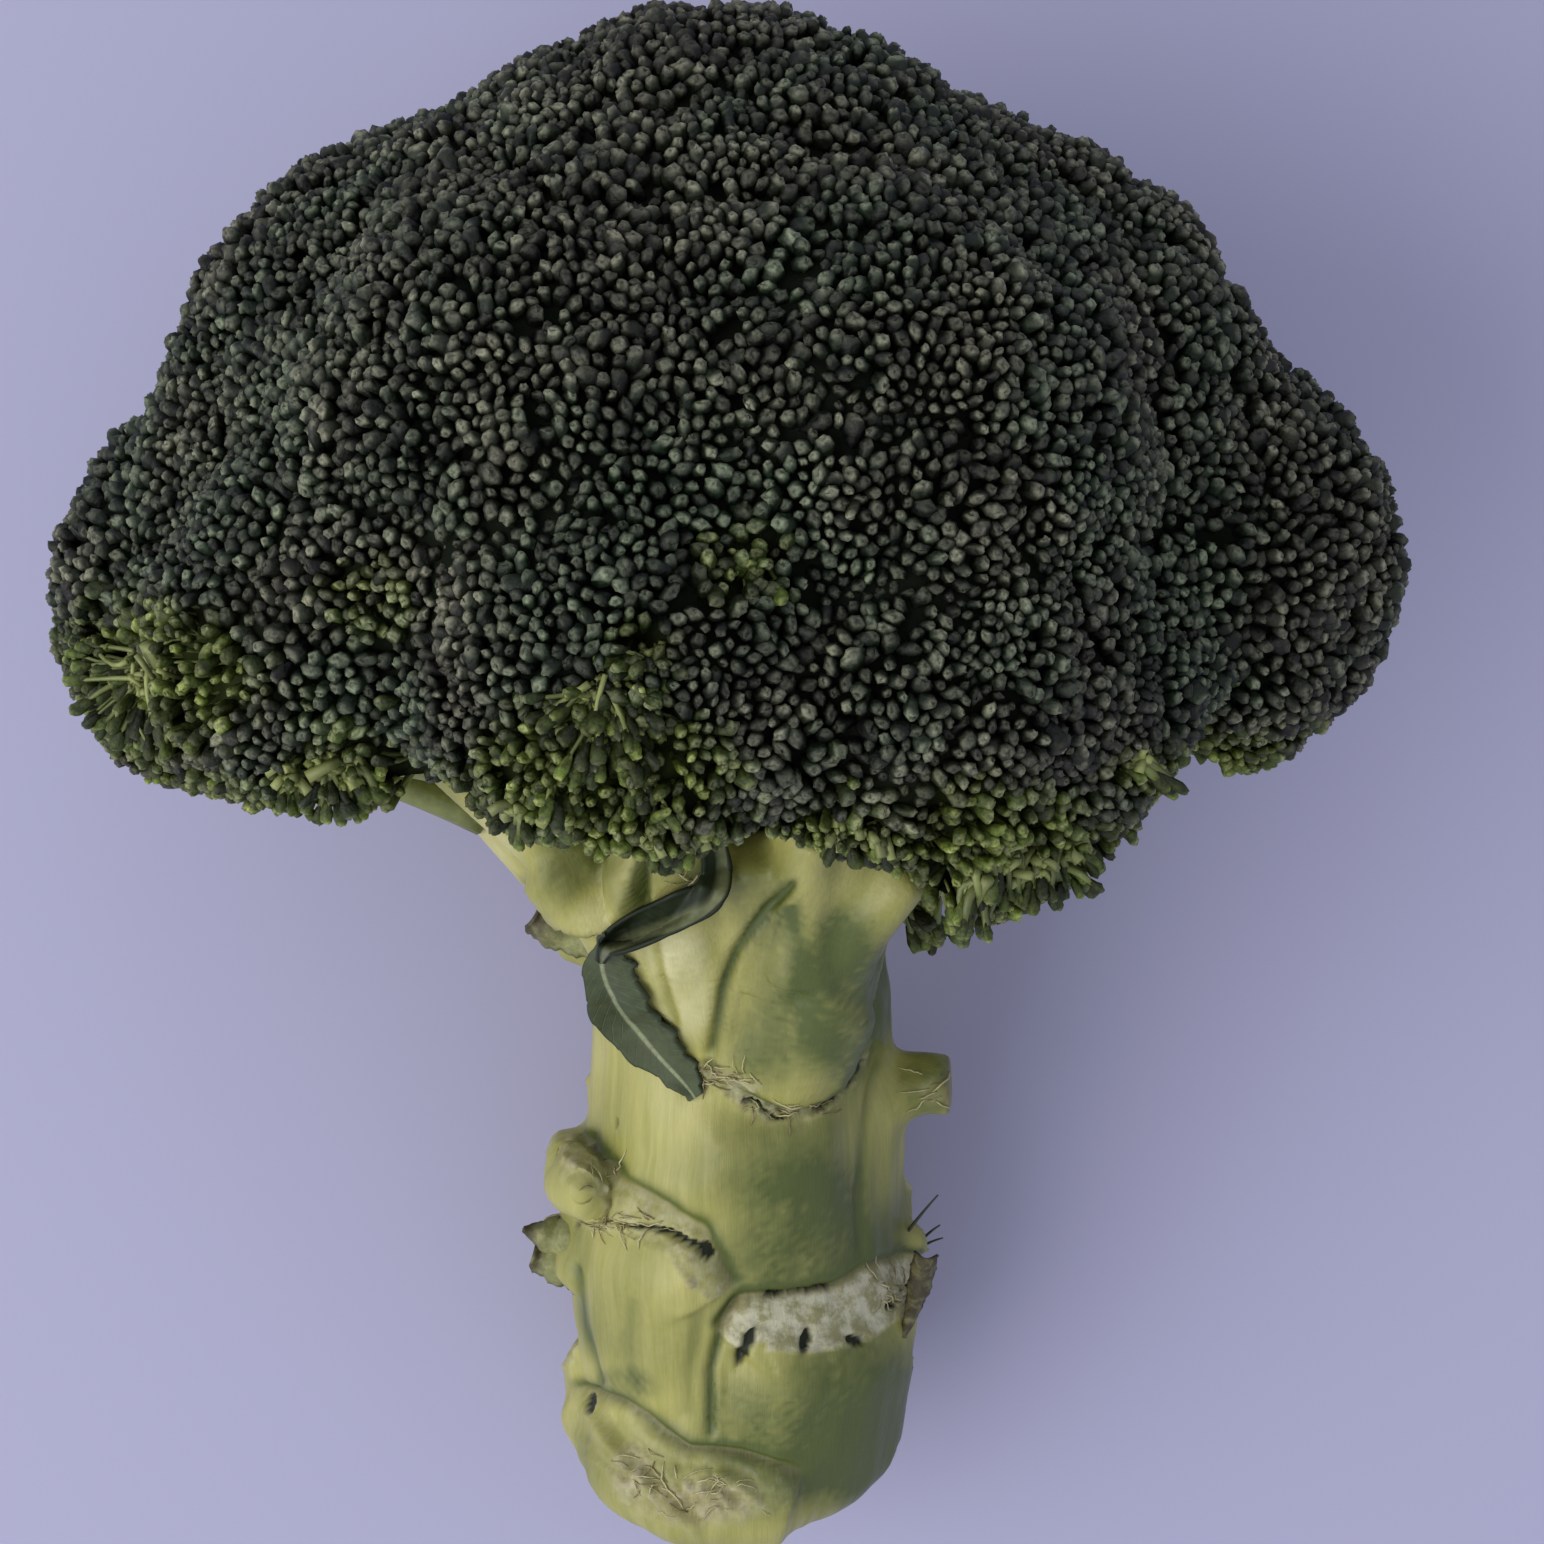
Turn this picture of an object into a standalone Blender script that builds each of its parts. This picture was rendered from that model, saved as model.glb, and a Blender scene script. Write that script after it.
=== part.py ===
"""A head of broccoli, cut from its plant and lying on its side on a table.

The stalk carries leaf scars and cut leaf stubs and opens into thick branches. They hold up a
domed crown, which is covered with flower buds, and one small leaf hangs over the stalk's front.

Lengths are in metres. The head is built upright along its own stem, with local +Z towards the
crown's top, local X across, and local -Y as its front. The parent empty then lays it down, so
that its front faces up and the table is the plane z = 0. An azimuth runs round the stem from
the head's right side, over its front, to its left side.
"""

import math
import random

import bmesh
import bpy
from mathutils import Matrix, Vector
from mathutils.bvhtree import BVHTree

# How the head lies
LEAN = math.radians(21.8)  # of the stem above the table
CROWN_CENTRE_HEIGHT = 0.0545  # of the centre of the crown's widest ring, above the table

# Crown: round lobes about its centre, then thinned from front to back
FRONT_DEPTH = 0.86  # depth of the front half as a share of its width
BACK_DEPTH = 0.80
TOP_LOBE = (0.034, 0.031)  # height of its centre, radius
CORE_LOBE = (0.010, 0.052)  # the ball that fills in behind the others
SHOULDER_LOBES = 6
SHOULDER_LOBE = (0.029, 0.022, 0.0300)  # distance from the stem, height, radius
RIM_LOBES = (  # azimuth in degrees, distance from the stem, height, radius
    (2, 0.0510, 0.005, 0.0240),
    (40, 0.0430, -0.002, 0.0180),
    (54, 0.0400, -0.010, 0.0165),
    (66, 0.0460, 0.004, 0.0200),
    (100, 0.0480, 0.007, 0.0210),
    (143, 0.0470, 0.005, 0.0210),
    (178, 0.0495, 0.001, 0.0240),
    (213, 0.0480, 0.002, 0.0235),
    (248, 0.0500, 0.001, 0.0245),
    (292, 0.0500, 0.001, 0.0245),
    (327, 0.0480, 0.003, 0.0235),
)
LOBE_SHARPNESS = 34  # a higher power leaves deeper grooves between the lobes
RIM_ANGLES = (  # azimuth, angle from the crown's top down to its lower rim, in degrees
    (0, 107),
    (24, 105),
    (44, 118),
    (58, 119),
    (72, 104),
    (100, 100),
    (135, 101),
    (160, 109),
    (190, 113),
    (225, 110),
    (270, 105),
    (320, 107),
    (360, 107),
)
BOWL_TOP = 0.026  # height of the hollow under the crown
BOWL_ROUNDNESS = 0.6

# Buds, larger than life, as peaks that rise from the crown
BUDS = 1500
BUD_HEIGHT = 0.0015
BUD_HEIGHT_SPREAD = 0.0005
GAP_DEPTH = 0.0008
BUD_JITTER = 0.16  # of the spacing
UNDERSIDE_POINTS = 340
RIM_SHARE = -0.30  # height on the unit ball where the buds end and the hollow starts
GOLDEN_ANGLE = math.pi * (3 - math.sqrt(5))

# Stalk
STALK_OFFSET = 0.0024  # of its axis to the right of the crown's centre
STALK_PROFILE = (  # height, radius
    (-0.1200, 0.0190),
    (-0.1080, 0.0200),
    (-0.0950, 0.0198),
    (-0.0800, 0.0191),
    (-0.0640, 0.0181),
    (-0.0480, 0.0172),
    (-0.0300, 0.0162),
    (-0.0120, 0.0156),
    (0.0040, 0.0165),
    (0.0300, 0.0260),
)
STALK_RINGS = 110
STALK_SIDES = 96
STALK_END = -0.1115  # height of the knife cut on the stem's axis
END_ROUNDING = 0.0075
CUT_SLANT = math.radians(10)  # the front is left longer than the back
SCARS = (  # azimuth, height, half width, height of the scar's face, bulge of the pad below
    (78, -0.0535, 0.0100, 0.0035, 0.0014),
    (143, -0.0690, 0.0150, 0.0060, 0.0020),
    (46, -0.0815, 0.0155, 0.0066, 0.0022),
    (108, -0.0975, 0.0150, 0.0080, 0.0020),
    (8, -0.0560, 0.0080, 0.0040, 0.0014),
    (235, -0.0600, 0.0140, 0.0064, 0.0018),
    (318, -0.0730, 0.0140, 0.0064, 0.0018),
    (200, -0.0930, 0.0130, 0.0066, 0.0016),
)
SCAR_SAG = 0.30  # how much lower a scar's middle is than its ends, as a share of half its width
SCAR_GROOVE = 0.0005
PAD_LENGTH = 0.024
STUBS = (  # azimuth, height, radius, length beyond the stalk
    (8, -0.0595, 0.0042, 0.0062),
    (176, -0.0700, 0.0042, 0.0052),
    (184, -0.0830, 0.0034, 0.0060),
    (172, -0.0410, 0.0026, 0.0050),
    (2, -0.0815, 0.0026, 0.0036),
    (262, -0.0640, 0.0036, 0.0022),
)

# Branches: azimuth in degrees, height where it leaves the stalk, radius
BRANCHES = (
    (66, -0.0520, 0.0080),
    (102, -0.0480, 0.0066),
    (168, -0.0400, 0.0060),
    (20, -0.0280, 0.0060),
    (212, -0.0460, 0.0068),
    (252, -0.0400, 0.0066),
    (292, -0.0470, 0.0068),
    (333, -0.0400, 0.0064),
)
BRANCH_ROOT = 0.0090  # distance of its root from the stem's axis
BRANCH_SPREAD = 0.0360  # how much further out its top is
BRANCH_BEND = 0.75  # below 1 it leaves the stalk early and rises late
BRANCH_TOP = 0.012
BRANCH_TAPER = 0.35
BRANCH_STEPS = 7
TWIG_TURNS = (-0.34, 0.34)  # radians to each side of the branch that they fork from
TWIG_START = 0.45
TWIG_RADIUS = 0.62  # of the branch's
FUSING_VOXEL = 0.0009
STALK_TRIANGLES = 4400
CLEARANCE = 0.0006  # between the branches and the crown that they carry

# Leaf
LEAF_STATIONS = (  # x and z along its midrib, half width
    (0.0000, -0.0200, 0.0012),
    (-0.0006, -0.0238, 0.0018),
    (-0.0030, -0.0272, 0.0021),
    (-0.0070, -0.0298, 0.0021),
    (-0.0108, -0.0322, 0.0019),
    (-0.0128, -0.0356, 0.0024),
    (-0.0116, -0.0398, 0.0037),
    (-0.0088, -0.0438, 0.0036),
    (-0.0054, -0.0476, 0.0026),
    (-0.0028, -0.0505, 0.0007),
)
LEAF_THICKNESS = 0.0008
LEAF_CLEARANCE = 0.0012  # between the leaf's middle and what it hangs over
LEAF_TEETH = 7
LEAF_TOOTH_DEPTH = 0.0005
LEAF_STEPS = 34
LEAF_STRIPS = 4
LEAF_CUP = 0.0007  # how far its edges curl up

SEED = 11


def clear_scene():
    for obj in list(bpy.data.objects):
        bpy.data.objects.remove(obj, do_unlink=True)


def new_collection(name):
    collection = bpy.data.collections.new(name)
    bpy.context.scene.collection.children.link(collection)
    return collection


def new_material(name, color, roughness):
    material = bpy.data.materials.new(name)
    material.use_nodes = True
    shader = material.node_tree.nodes["Principled BSDF"]
    shader.inputs["Base Color"].default_value = (*color, 1.0)
    shader.inputs["Roughness"].default_value = roughness
    shader.inputs["Metallic"].default_value = 0.0
    return material


def new_object(name, mesh, collection, parent):
    obj = bpy.data.objects.new(name, mesh)
    collection.objects.link(obj)
    obj.parent = parent
    return obj


def new_cutter(name, mesh, collection, parent):
    cutter = new_object(name, mesh, collection, parent)
    cutter.hide_render = True
    cutter.display_type = "WIRE"
    return cutter


def mesh_from(bm, name):
    """The mesh of a closed shape, with its faces turned outwards."""
    bmesh.ops.recalc_face_normals(bm, faces=bm.faces)
    mesh = bpy.data.meshes.new(name)
    bm.to_mesh(mesh)
    bm.free()
    return mesh


def evaluated_mesh(obj):
    """What the object's modifiers make of it, as a mesh of its own."""
    depsgraph = bpy.context.evaluated_depsgraph_get()
    return bpy.data.meshes.new_from_object(obj.evaluated_get(depsgraph))


def around(azimuth, distance, height):
    return Vector((distance * math.cos(azimuth), -distance * math.sin(azimuth), height))


def azimuth_of(point):
    return math.atan2(-point.y, point.x) % math.tau


def eased(low, high, value):
    """0 below the low value, 1 above the high one, and a smooth step between."""
    share = min(1.0, max(0.0, (value - low) / (high - low)))
    return share * share * (3 - 2 * share)


def looked_up(stations, value):
    """The second column of a table at this value of its first one, with smooth steps."""
    for low, high in zip(stations, stations[1:]):
        if value <= high[0]:
            return low[1] + (high[1] - low[1]) * eased(low[0], high[0], value)
    return stations[-1][1]


def smooth_path(stations, share):
    """A point of the smooth curve through all the stations, 0 to 1 along it."""
    place = share * (len(stations) - 1)
    i = min(int(place), len(stations) - 2)
    t = place - i
    p0, p1, p2, p3 = (
        Vector(stations[min(max(k, 0), len(stations) - 1)]) for k in range(i - 1, i + 3)
    )
    slope = (p2 - p0) + (2 * p0 - 5 * p1 + 4 * p2 - p3) * t + (3 * p1 - 3 * p2 + p3 - p0) * t * t
    return p1 + slope * t / 2


def laid_down():
    """How the upright head lies on the table."""
    turned = Matrix.Rotation(LEAN - math.pi / 2, 4, "X")
    return Matrix.Translation((0, 0, CROWN_CENTRE_HEIGHT)) @ turned


def lifted_to_table(point):
    """The point, moved straight up to the table if it would lie below it."""
    below = min(0.0, (laid_down() @ point).z)
    up = laid_down().to_3x3().inverted() @ Vector((0, 0, 1))
    return point - up * below


def crown_lobes():
    """Centre and radius of each ball whose outer skin makes up the crown."""
    lobes = [(Vector((0, 0, height)), radius) for height, radius in (TOP_LOBE, CORE_LOBE)]
    distance, height, radius = SHOULDER_LOBE
    for i in range(SHOULDER_LOBES):
        lobes.append((around(math.tau * i / SHOULDER_LOBES, distance, height), radius))
    for degrees, distance, height, radius in RIM_LOBES:
        lobes.append((around(math.radians(degrees), distance, height), radius))
    return lobes


def reach(direction, lobes):
    """How far the lobes reach from the crown's centre, blended into one skin."""
    total = 0.0
    for centre, radius in lobes:
        along = direction.dot(centre)
        under_root = radius**2 - centre.length_squared + along**2
        if under_root > 0:
            far_side = along + math.sqrt(under_root)
            total += max(far_side, 0.0) ** LOBE_SHARPNESS
    return total ** (1 / LOBE_SHARPNESS)


def thinned(point):
    """Thins the crown from front to back."""
    depth = FRONT_DEPTH + (BACK_DEPTH - FRONT_DEPTH) * eased(-0.02, 0.02, point.y)
    return Vector((point.x, point.y * depth, point.z))


def dome_point(angle, azimuth, lobes):
    direction = around(azimuth, math.sin(angle), math.cos(angle))
    return thinned(direction * reach(direction, lobes))


def crown_point(direction, lobes):
    """Where a point of the unit ball goes: on the dome, or past the rim in the hollow below."""
    azimuth = azimuth_of(direction)
    rim_angle = math.radians(looked_up(RIM_ANGLES, math.degrees(azimuth)))
    angle = math.acos(max(-1.0, min(1.0, direction.z)))
    ball_rim_angle = math.acos(RIM_SHARE)
    if angle <= ball_rim_angle:
        return dome_point(rim_angle * angle / ball_rim_angle, azimuth, lobes)
    rim = dome_point(rim_angle, azimuth, lobes)
    inward = (math.pi - angle) / (math.pi - ball_rim_angle)
    rise = (1 - inward**2) ** BOWL_ROUNDNESS
    return Vector((rim.x * inward, rim.y * inward, rim.z + (BOWL_TOP - rim.z) * rise))


def spiral_points(count, low, high, jitter, dice):
    """Points of the unit ball between two heights, set out like the seeds of a sunflower."""
    points = []
    spacing = math.sqrt(math.tau * (high - low) / count)
    for i in range(count):
        height = high - (high - low) * (i + 0.5) / count
        point = around(i * GOLDEN_ANGLE, math.sqrt(1 - height * height), height)
        nudge = Vector([dice.gauss(0, 1) for _ in range(3)])
        points.append((point + nudge * jitter * spacing).normalized())
    return points


def crown_mesh(lobes):
    """The dome with a peak for each bud and a pit wherever three buds meet."""
    dice = random.Random(SEED)
    bm = bmesh.new()
    for point in spiral_points(BUDS, RIM_SHARE, 1.0, BUD_JITTER, dice):
        bm.verts.new(point)
    for point in spiral_points(UNDERSIDE_POINTS, -1.0, RIM_SHARE, 0.0, dice):
        bm.verts.new(point)
    bmesh.ops.convex_hull(bm, input=bm.verts)
    domed = {f for f in bm.faces if all(v.co.z > RIM_SHARE for v in f.verts)}
    peaks = {v for f in domed for v in f.verts}
    ridges = [e for e in bm.edges if all(f in domed for f in e.link_faces)]
    pits = set(bmesh.ops.poke(bm, faces=list(domed))["verts"])
    bmesh.ops.rotate_edges(bm, edges=ridges, use_ccw=False)
    for vert in bm.verts:
        vert.co = crown_point(vert.co.normalized(), lobes)
    bmesh.ops.recalc_face_normals(bm, faces=bm.faces)
    bm.normal_update()
    normals = {vert: vert.normal.copy() for vert in bm.verts}
    for vert, normal in normals.items():
        if vert in peaks:
            vert.co += normal * (BUD_HEIGHT + dice.uniform(-1, 1) * BUD_HEIGHT_SPREAD)
        elif vert in pits:
            vert.co -= normal * GAP_DEPTH
        vert.co = lifted_to_table(vert.co)
    return mesh_from(bm, "crown")


def crown_room_mesh(crown):
    """The crown grown by the clearance, to trim the branches by."""
    bm = bmesh.new()
    bm.from_mesh(crown.data)
    for vert, normal in [(vert, vert.normal.copy()) for vert in bm.verts]:
        vert.co += normal * CLEARANCE
    return mesh_from(bm, "crown_room")


def scar_relief(azimuth, height, radius):
    """How far the leaf scars and the pads below them raise the stalk's surface here."""
    raised = 0.0
    for degrees, top, half_width, face, bulge in SCARS:
        turn = (azimuth - math.radians(degrees) + math.pi) % math.tau - math.pi
        across = turn * radius / half_width
        if abs(across) < 1.15:
            below = top + SCAR_SAG * half_width * (across**2 - 0.5) - height
            ramp = eased(0, face, below) * (1 - eased(face, face + PAD_LENGTH, below))
            groove = math.exp(-((below / 0.0012) ** 2)) * (1 - eased(0.8, 1.1, abs(across)))
            raised += bulge * ramp * (1 - eased(0.55, 1.1, abs(across))) - SCAR_GROOVE * groove
    return raised


def stalk_point(direction):
    """Where a point of the unit ball goes on the stalk, whose rings are evenly spaced."""
    share = math.acos(max(-1.0, min(1.0, direction.z))) / math.pi
    top = STALK_PROFILE[-1][0]
    azimuth = azimuth_of(direction)
    side = math.sin(azimuth)
    end = STALK_END - side * STALK_PROFILE[1][1] * math.tan(CUT_SLANT)
    height = top + (end - top) * share
    radius = looked_up(STALK_PROFILE, height)
    radius += scar_relief(azimuth, height, radius)
    into_end = max(0.0, 1 - (height - end) / END_ROUNDING)
    radius *= math.sqrt(1 - 0.75 * into_end**2)
    if math.hypot(direction.x, direction.y) < 1e-6:
        height, radius = (top if direction.z > 0 else STALK_END), 0.0
    return around(azimuth, radius, height) + Vector((STALK_OFFSET, 0, 0))


def add_stem(bm):
    """Adds the stem itself."""
    made = bmesh.ops.create_uvsphere(
        bm, u_segments=STALK_SIDES, v_segments=STALK_RINGS, radius=1
    )
    for vert in made["verts"]:
        vert.co = stalk_point(vert.co.normalized())


def add_stubs(bm):
    """Adds what is left of cut leaf stems, as short pegs."""
    for degrees, height, radius, length in STUBS:
        azimuth = math.radians(degrees)
        inner = looked_up(STALK_PROFILE, height) - 2 * radius
        outer = looked_up(STALK_PROFILE, height) + length
        axis = around(azimuth, 1, 0.25).normalized()
        middle = around(azimuth, (inner + outer) / 2, height) + Vector((STALK_OFFSET, 0, 0))
        bmesh.ops.create_cone(
            bm,
            cap_ends=True,
            segments=16,
            radius1=radius * 1.25,
            radius2=radius * 0.85,
            depth=outer - inner,
            matrix=Matrix.Translation(middle) @ axis.to_track_quat("Z", "Y").to_matrix().to_4x4(),
        )


def branch_point(share, azimuth, base):
    """A point of a branch's middle line, 0 to 1 up it."""
    distance = BRANCH_ROOT + BRANCH_SPREAD * share**BRANCH_BEND
    height = base + (BRANCH_TOP - base) * share
    offset = Vector((STALK_OFFSET * (1 - share), 0, 0))
    return thinned(around(azimuth, distance, height)) + offset


def limbs():
    """Every branch and twig, as a list of points and radii."""
    paths = []
    for degrees, base, radius in BRANCHES:
        azimuth = math.radians(degrees)
        shares = [i / (BRANCH_STEPS - 1) for i in range(BRANCH_STEPS)]
        paths.append(
            [(branch_point(s, azimuth, base), radius * (1.1 - BRANCH_TAPER * s)) for s in shares]
        )
        for turn in TWIG_TURNS:
            path = []
            for share in shares[BRANCH_STEPS // 3 :]:
                turned = azimuth + turn * eased(TWIG_START - 0.15, 1.0, share)
                path.append((branch_point(share, turned, base), radius * TWIG_RADIUS))
            paths.append(path)
    return paths


def limbs_mesh(collection, parent):
    """The branches as round tubes along smooth curves."""
    curve = bpy.data.curves.new("limbs", "CURVE")
    curve.dimensions = "3D"
    curve.bevel_depth = 1.0
    curve.bevel_resolution = 3
    curve.resolution_u = 5
    curve.use_fill_caps = True
    for path in limbs():
        spline = curve.splines.new("NURBS")
        spline.points.add(len(path) - 1)
        spline.use_endpoint_u = True
        spline.order_u = 4
        for point, (place, radius) in zip(spline.points, path):
            point.co = (*place, 1)
            point.radius = radius
    obj = new_object("limbs", curve, collection, parent)
    bpy.context.view_layer.update()
    mesh = evaluated_mesh(obj)
    bpy.data.objects.remove(obj)
    bm = bmesh.new()
    bm.from_mesh(mesh)
    bmesh.ops.remove_doubles(bm, verts=bm.verts, dist=1e-6)
    return mesh_from(bm, "limbs")


def make_stalk(collection, cutters, parent, crown):
    """The stem, stubs and branches grown into one piece, trimmed by the crown and the table."""
    bm = bmesh.new()
    bm.from_mesh(limbs_mesh(collection, parent))
    add_stem(bm)
    add_stubs(bm)
    stalk = new_object("stalk", mesh_from(bm, "stalk"), collection, parent)
    remesh = stalk.modifiers.new("Grow together", "REMESH")
    remesh.mode = "VOXEL"
    remesh.voxel_size = FUSING_VOXEL
    smooth = stalk.modifiers.new("Soften", "SMOOTH")
    smooth.factor = 0.5
    smooth.iterations = 6
    bpy.context.view_layer.update()
    fused = evaluated_mesh(stalk)
    decimate = stalk.modifiers.new("Coarsen", "DECIMATE")
    decimate.ratio = STALK_TRIANGLES / (2 * len(fused.polygons))
    bpy.context.view_layer.update()
    stalk.data = evaluated_mesh(stalk)
    stalk.modifiers.clear()
    crown_room = new_cutter("crown_room", crown_room_mesh(crown), cutters, parent)
    for cutter in (crown_room, table_cutter(cutters)):
        cut = stalk.modifiers.new("Trim by " + cutter.name, "BOOLEAN")
        cut.operation = "DIFFERENCE"
        cut.object = cutter
    return stalk


def table_cutter(cutters):
    """A block whose top is the table."""
    bm = bmesh.new()
    size = 0.4
    bmesh.ops.create_cube(bm, size=size, matrix=Matrix.Translation((0, 0, -size / 2)))
    return new_cutter("table", mesh_from(bm, "table"), cutters, None)


def make_crown(collection, parent, lobes):
    return new_object("crown", crown_mesh(lobes), collection, parent)


def front_surface(tree, x, z):
    """How far the stalk reaches to the front at this place."""
    place, _, _, _ = tree.ray_cast(Vector((x, -0.2, z)), Vector((0, 1, 0)))
    return -place.y if place else 0.0


def leaf_frame(share):
    """Middle, sideways direction and half width of the leaf at this share of its length."""
    x, z, half_width = smooth_path(LEAF_STATIONS, share)
    ahead = smooth_path(LEAF_STATIONS, min(1.0, share + 0.02))
    behind = smooth_path(LEAF_STATIONS, max(0.0, share - 0.02))
    along = Vector((ahead.x - behind.x, 0, ahead.y - behind.y)).normalized()
    side = Vector((-along.z, 0, along.x))
    return Vector((x, 0, z)), side, half_width


def leaf_heights(tree):
    """How far in front the leaf hangs at each of its steps, clear of the stalk behind it."""
    heights = []
    for i in range(LEAF_STEPS + 1):
        middle, side, half_width = leaf_frame(i / LEAF_STEPS)
        places = [middle + side * half_width * c for c in (-1, -0.5, 0, 0.5, 1)]
        heights.append(max(front_surface(tree, p.x, p.z) for p in places))
    window = 3
    highest = [max(heights[max(0, i - window) : i + window + 1]) for i in range(len(heights))]
    return [
        sum(highest[max(0, i - window) : i + window + 1])
        / len(highest[max(0, i - window) : i + window + 1])
        + LEAF_CLEARANCE
        for i in range(len(highest))
    ]


def leaf_mesh(tree):
    heights = leaf_heights(tree)
    bm = bmesh.new()
    bmesh.ops.create_grid(bm, x_segments=LEAF_STRIPS, y_segments=LEAF_STEPS, size=1)
    for vert in bm.verts:
        across = vert.co.x
        step = round((vert.co.y + 1) / 2 * LEAF_STEPS)
        middle, side, half_width = leaf_frame(step / LEAF_STEPS)
        tooth = (step * LEAF_TEETH / LEAF_STEPS) % 1 * LEAF_TOOTH_DEPTH
        width = half_width + (tooth if abs(across) > 0.99 and step < LEAF_STEPS else 0.0)
        forward = heights[step] + LEAF_CUP * across**2
        vert.co = middle + side * across * width - Vector((0, forward, 0))
    bmesh.ops.triangulate(bm, faces=bm.faces)
    mesh = bpy.data.meshes.new("leaf")
    bm.to_mesh(mesh)
    bm.free()
    return mesh


def make_leaf(collection, parent, stalk):
    trimmed = bmesh.new()
    trimmed.from_mesh(evaluated_mesh(stalk))
    leaf = new_object("leaf", leaf_mesh(BVHTree.FromBMesh(trimmed)), collection, parent)
    trimmed.free()
    solidify = leaf.modifiers.new("Thickness", "SOLIDIFY")
    solidify.thickness = LEAF_THICKNESS
    solidify.offset = 0
    return leaf


def centre_on_origin(parent, objects):
    """Moves the head along the table until the middle of its box is over the origin."""
    bpy.context.view_layer.update()
    corners = []
    for obj in objects:
        mesh = evaluated_mesh(obj)
        corners += [obj.matrix_world @ vert.co for vert in mesh.vertices]
    for axis in (0, 1):
        values = [corner[axis] for corner in corners]
        parent.location[axis] -= (min(values) + max(values)) / 2


def main():
    clear_scene()
    collection = new_collection("broccoli")
    cutters = new_collection("cutters")
    parent = bpy.data.objects.new("broccoli_frame", None)
    collection.objects.link(parent)
    parent.matrix_world = laid_down()
    bpy.context.view_layer.update()

    lobes = crown_lobes()
    crown = make_crown(collection, parent, lobes)
    stalk = make_stalk(collection, cutters, parent, crown)
    leaf = make_leaf(collection, parent, stalk)
    crown.data.materials.append(new_material("buds", (0.036, 0.052, 0.030), 0.6))
    stalk.data.materials.append(new_material("pale stalk", (0.31, 0.36, 0.13), 0.45))
    leaf.data.materials.append(new_material("leaf", (0.075, 0.11, 0.055), 0.5))
    stalk.data.shade_smooth()
    leaf.data.shade_smooth()
    centre_on_origin(parent, (crown, stalk, leaf))


main()
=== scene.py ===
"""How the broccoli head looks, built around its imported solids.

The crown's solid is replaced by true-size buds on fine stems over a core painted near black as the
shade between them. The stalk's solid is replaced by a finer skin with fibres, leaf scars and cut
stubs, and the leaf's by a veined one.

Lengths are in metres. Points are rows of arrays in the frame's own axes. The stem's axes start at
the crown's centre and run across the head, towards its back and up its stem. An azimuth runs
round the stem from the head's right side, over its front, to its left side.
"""

import math

import bmesh
import bpy
import numpy as np
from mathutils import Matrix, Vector
from mathutils.bvhtree import BVHTree
from mathutils.kdtree import KDTree


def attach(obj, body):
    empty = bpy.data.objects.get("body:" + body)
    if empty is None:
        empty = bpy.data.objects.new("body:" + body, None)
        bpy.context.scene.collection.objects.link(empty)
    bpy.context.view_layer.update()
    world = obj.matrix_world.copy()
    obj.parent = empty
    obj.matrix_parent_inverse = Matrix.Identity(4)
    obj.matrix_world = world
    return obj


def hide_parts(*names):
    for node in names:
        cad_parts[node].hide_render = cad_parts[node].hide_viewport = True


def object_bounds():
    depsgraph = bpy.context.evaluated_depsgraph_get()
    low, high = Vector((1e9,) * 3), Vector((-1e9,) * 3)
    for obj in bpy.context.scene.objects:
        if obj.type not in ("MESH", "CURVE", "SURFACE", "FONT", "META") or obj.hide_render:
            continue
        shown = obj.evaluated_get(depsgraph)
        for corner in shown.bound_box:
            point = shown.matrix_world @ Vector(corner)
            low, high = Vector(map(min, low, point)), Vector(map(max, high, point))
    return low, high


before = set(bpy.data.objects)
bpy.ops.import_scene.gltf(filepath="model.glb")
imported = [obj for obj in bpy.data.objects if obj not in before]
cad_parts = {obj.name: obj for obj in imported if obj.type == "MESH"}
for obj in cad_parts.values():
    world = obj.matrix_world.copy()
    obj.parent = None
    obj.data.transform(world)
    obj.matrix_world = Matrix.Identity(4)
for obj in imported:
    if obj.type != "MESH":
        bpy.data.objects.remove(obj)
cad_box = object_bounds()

SEED = 7
MM = 0.001

# How the head lies, as in its solids
LEAN = math.radians(21.8)
CROWN_CENTRE = np.array((-0.00076, 0.02352, 0.0545))
STALK_OFFSET = 0.0024  # of the stalk's axis to the right of the crown's centre
STEM_AXES = np.array(
    (
        (1, 0, 0),
        (0, math.sin(LEAN), -math.cos(LEAN)),
        (0, math.cos(LEAN), math.sin(LEAN)),
    )
)

# Camera, which looks straight down
CAMERA_PLACE = (0.00530, 0.00490, 0.420)
CAMERA_LENS = 76.3
PHOTO_PIXELS = 1544
PIXEL_SHARE = 0.11 * MM / 0.360  # width of a pixel for each metre from the camera

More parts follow.
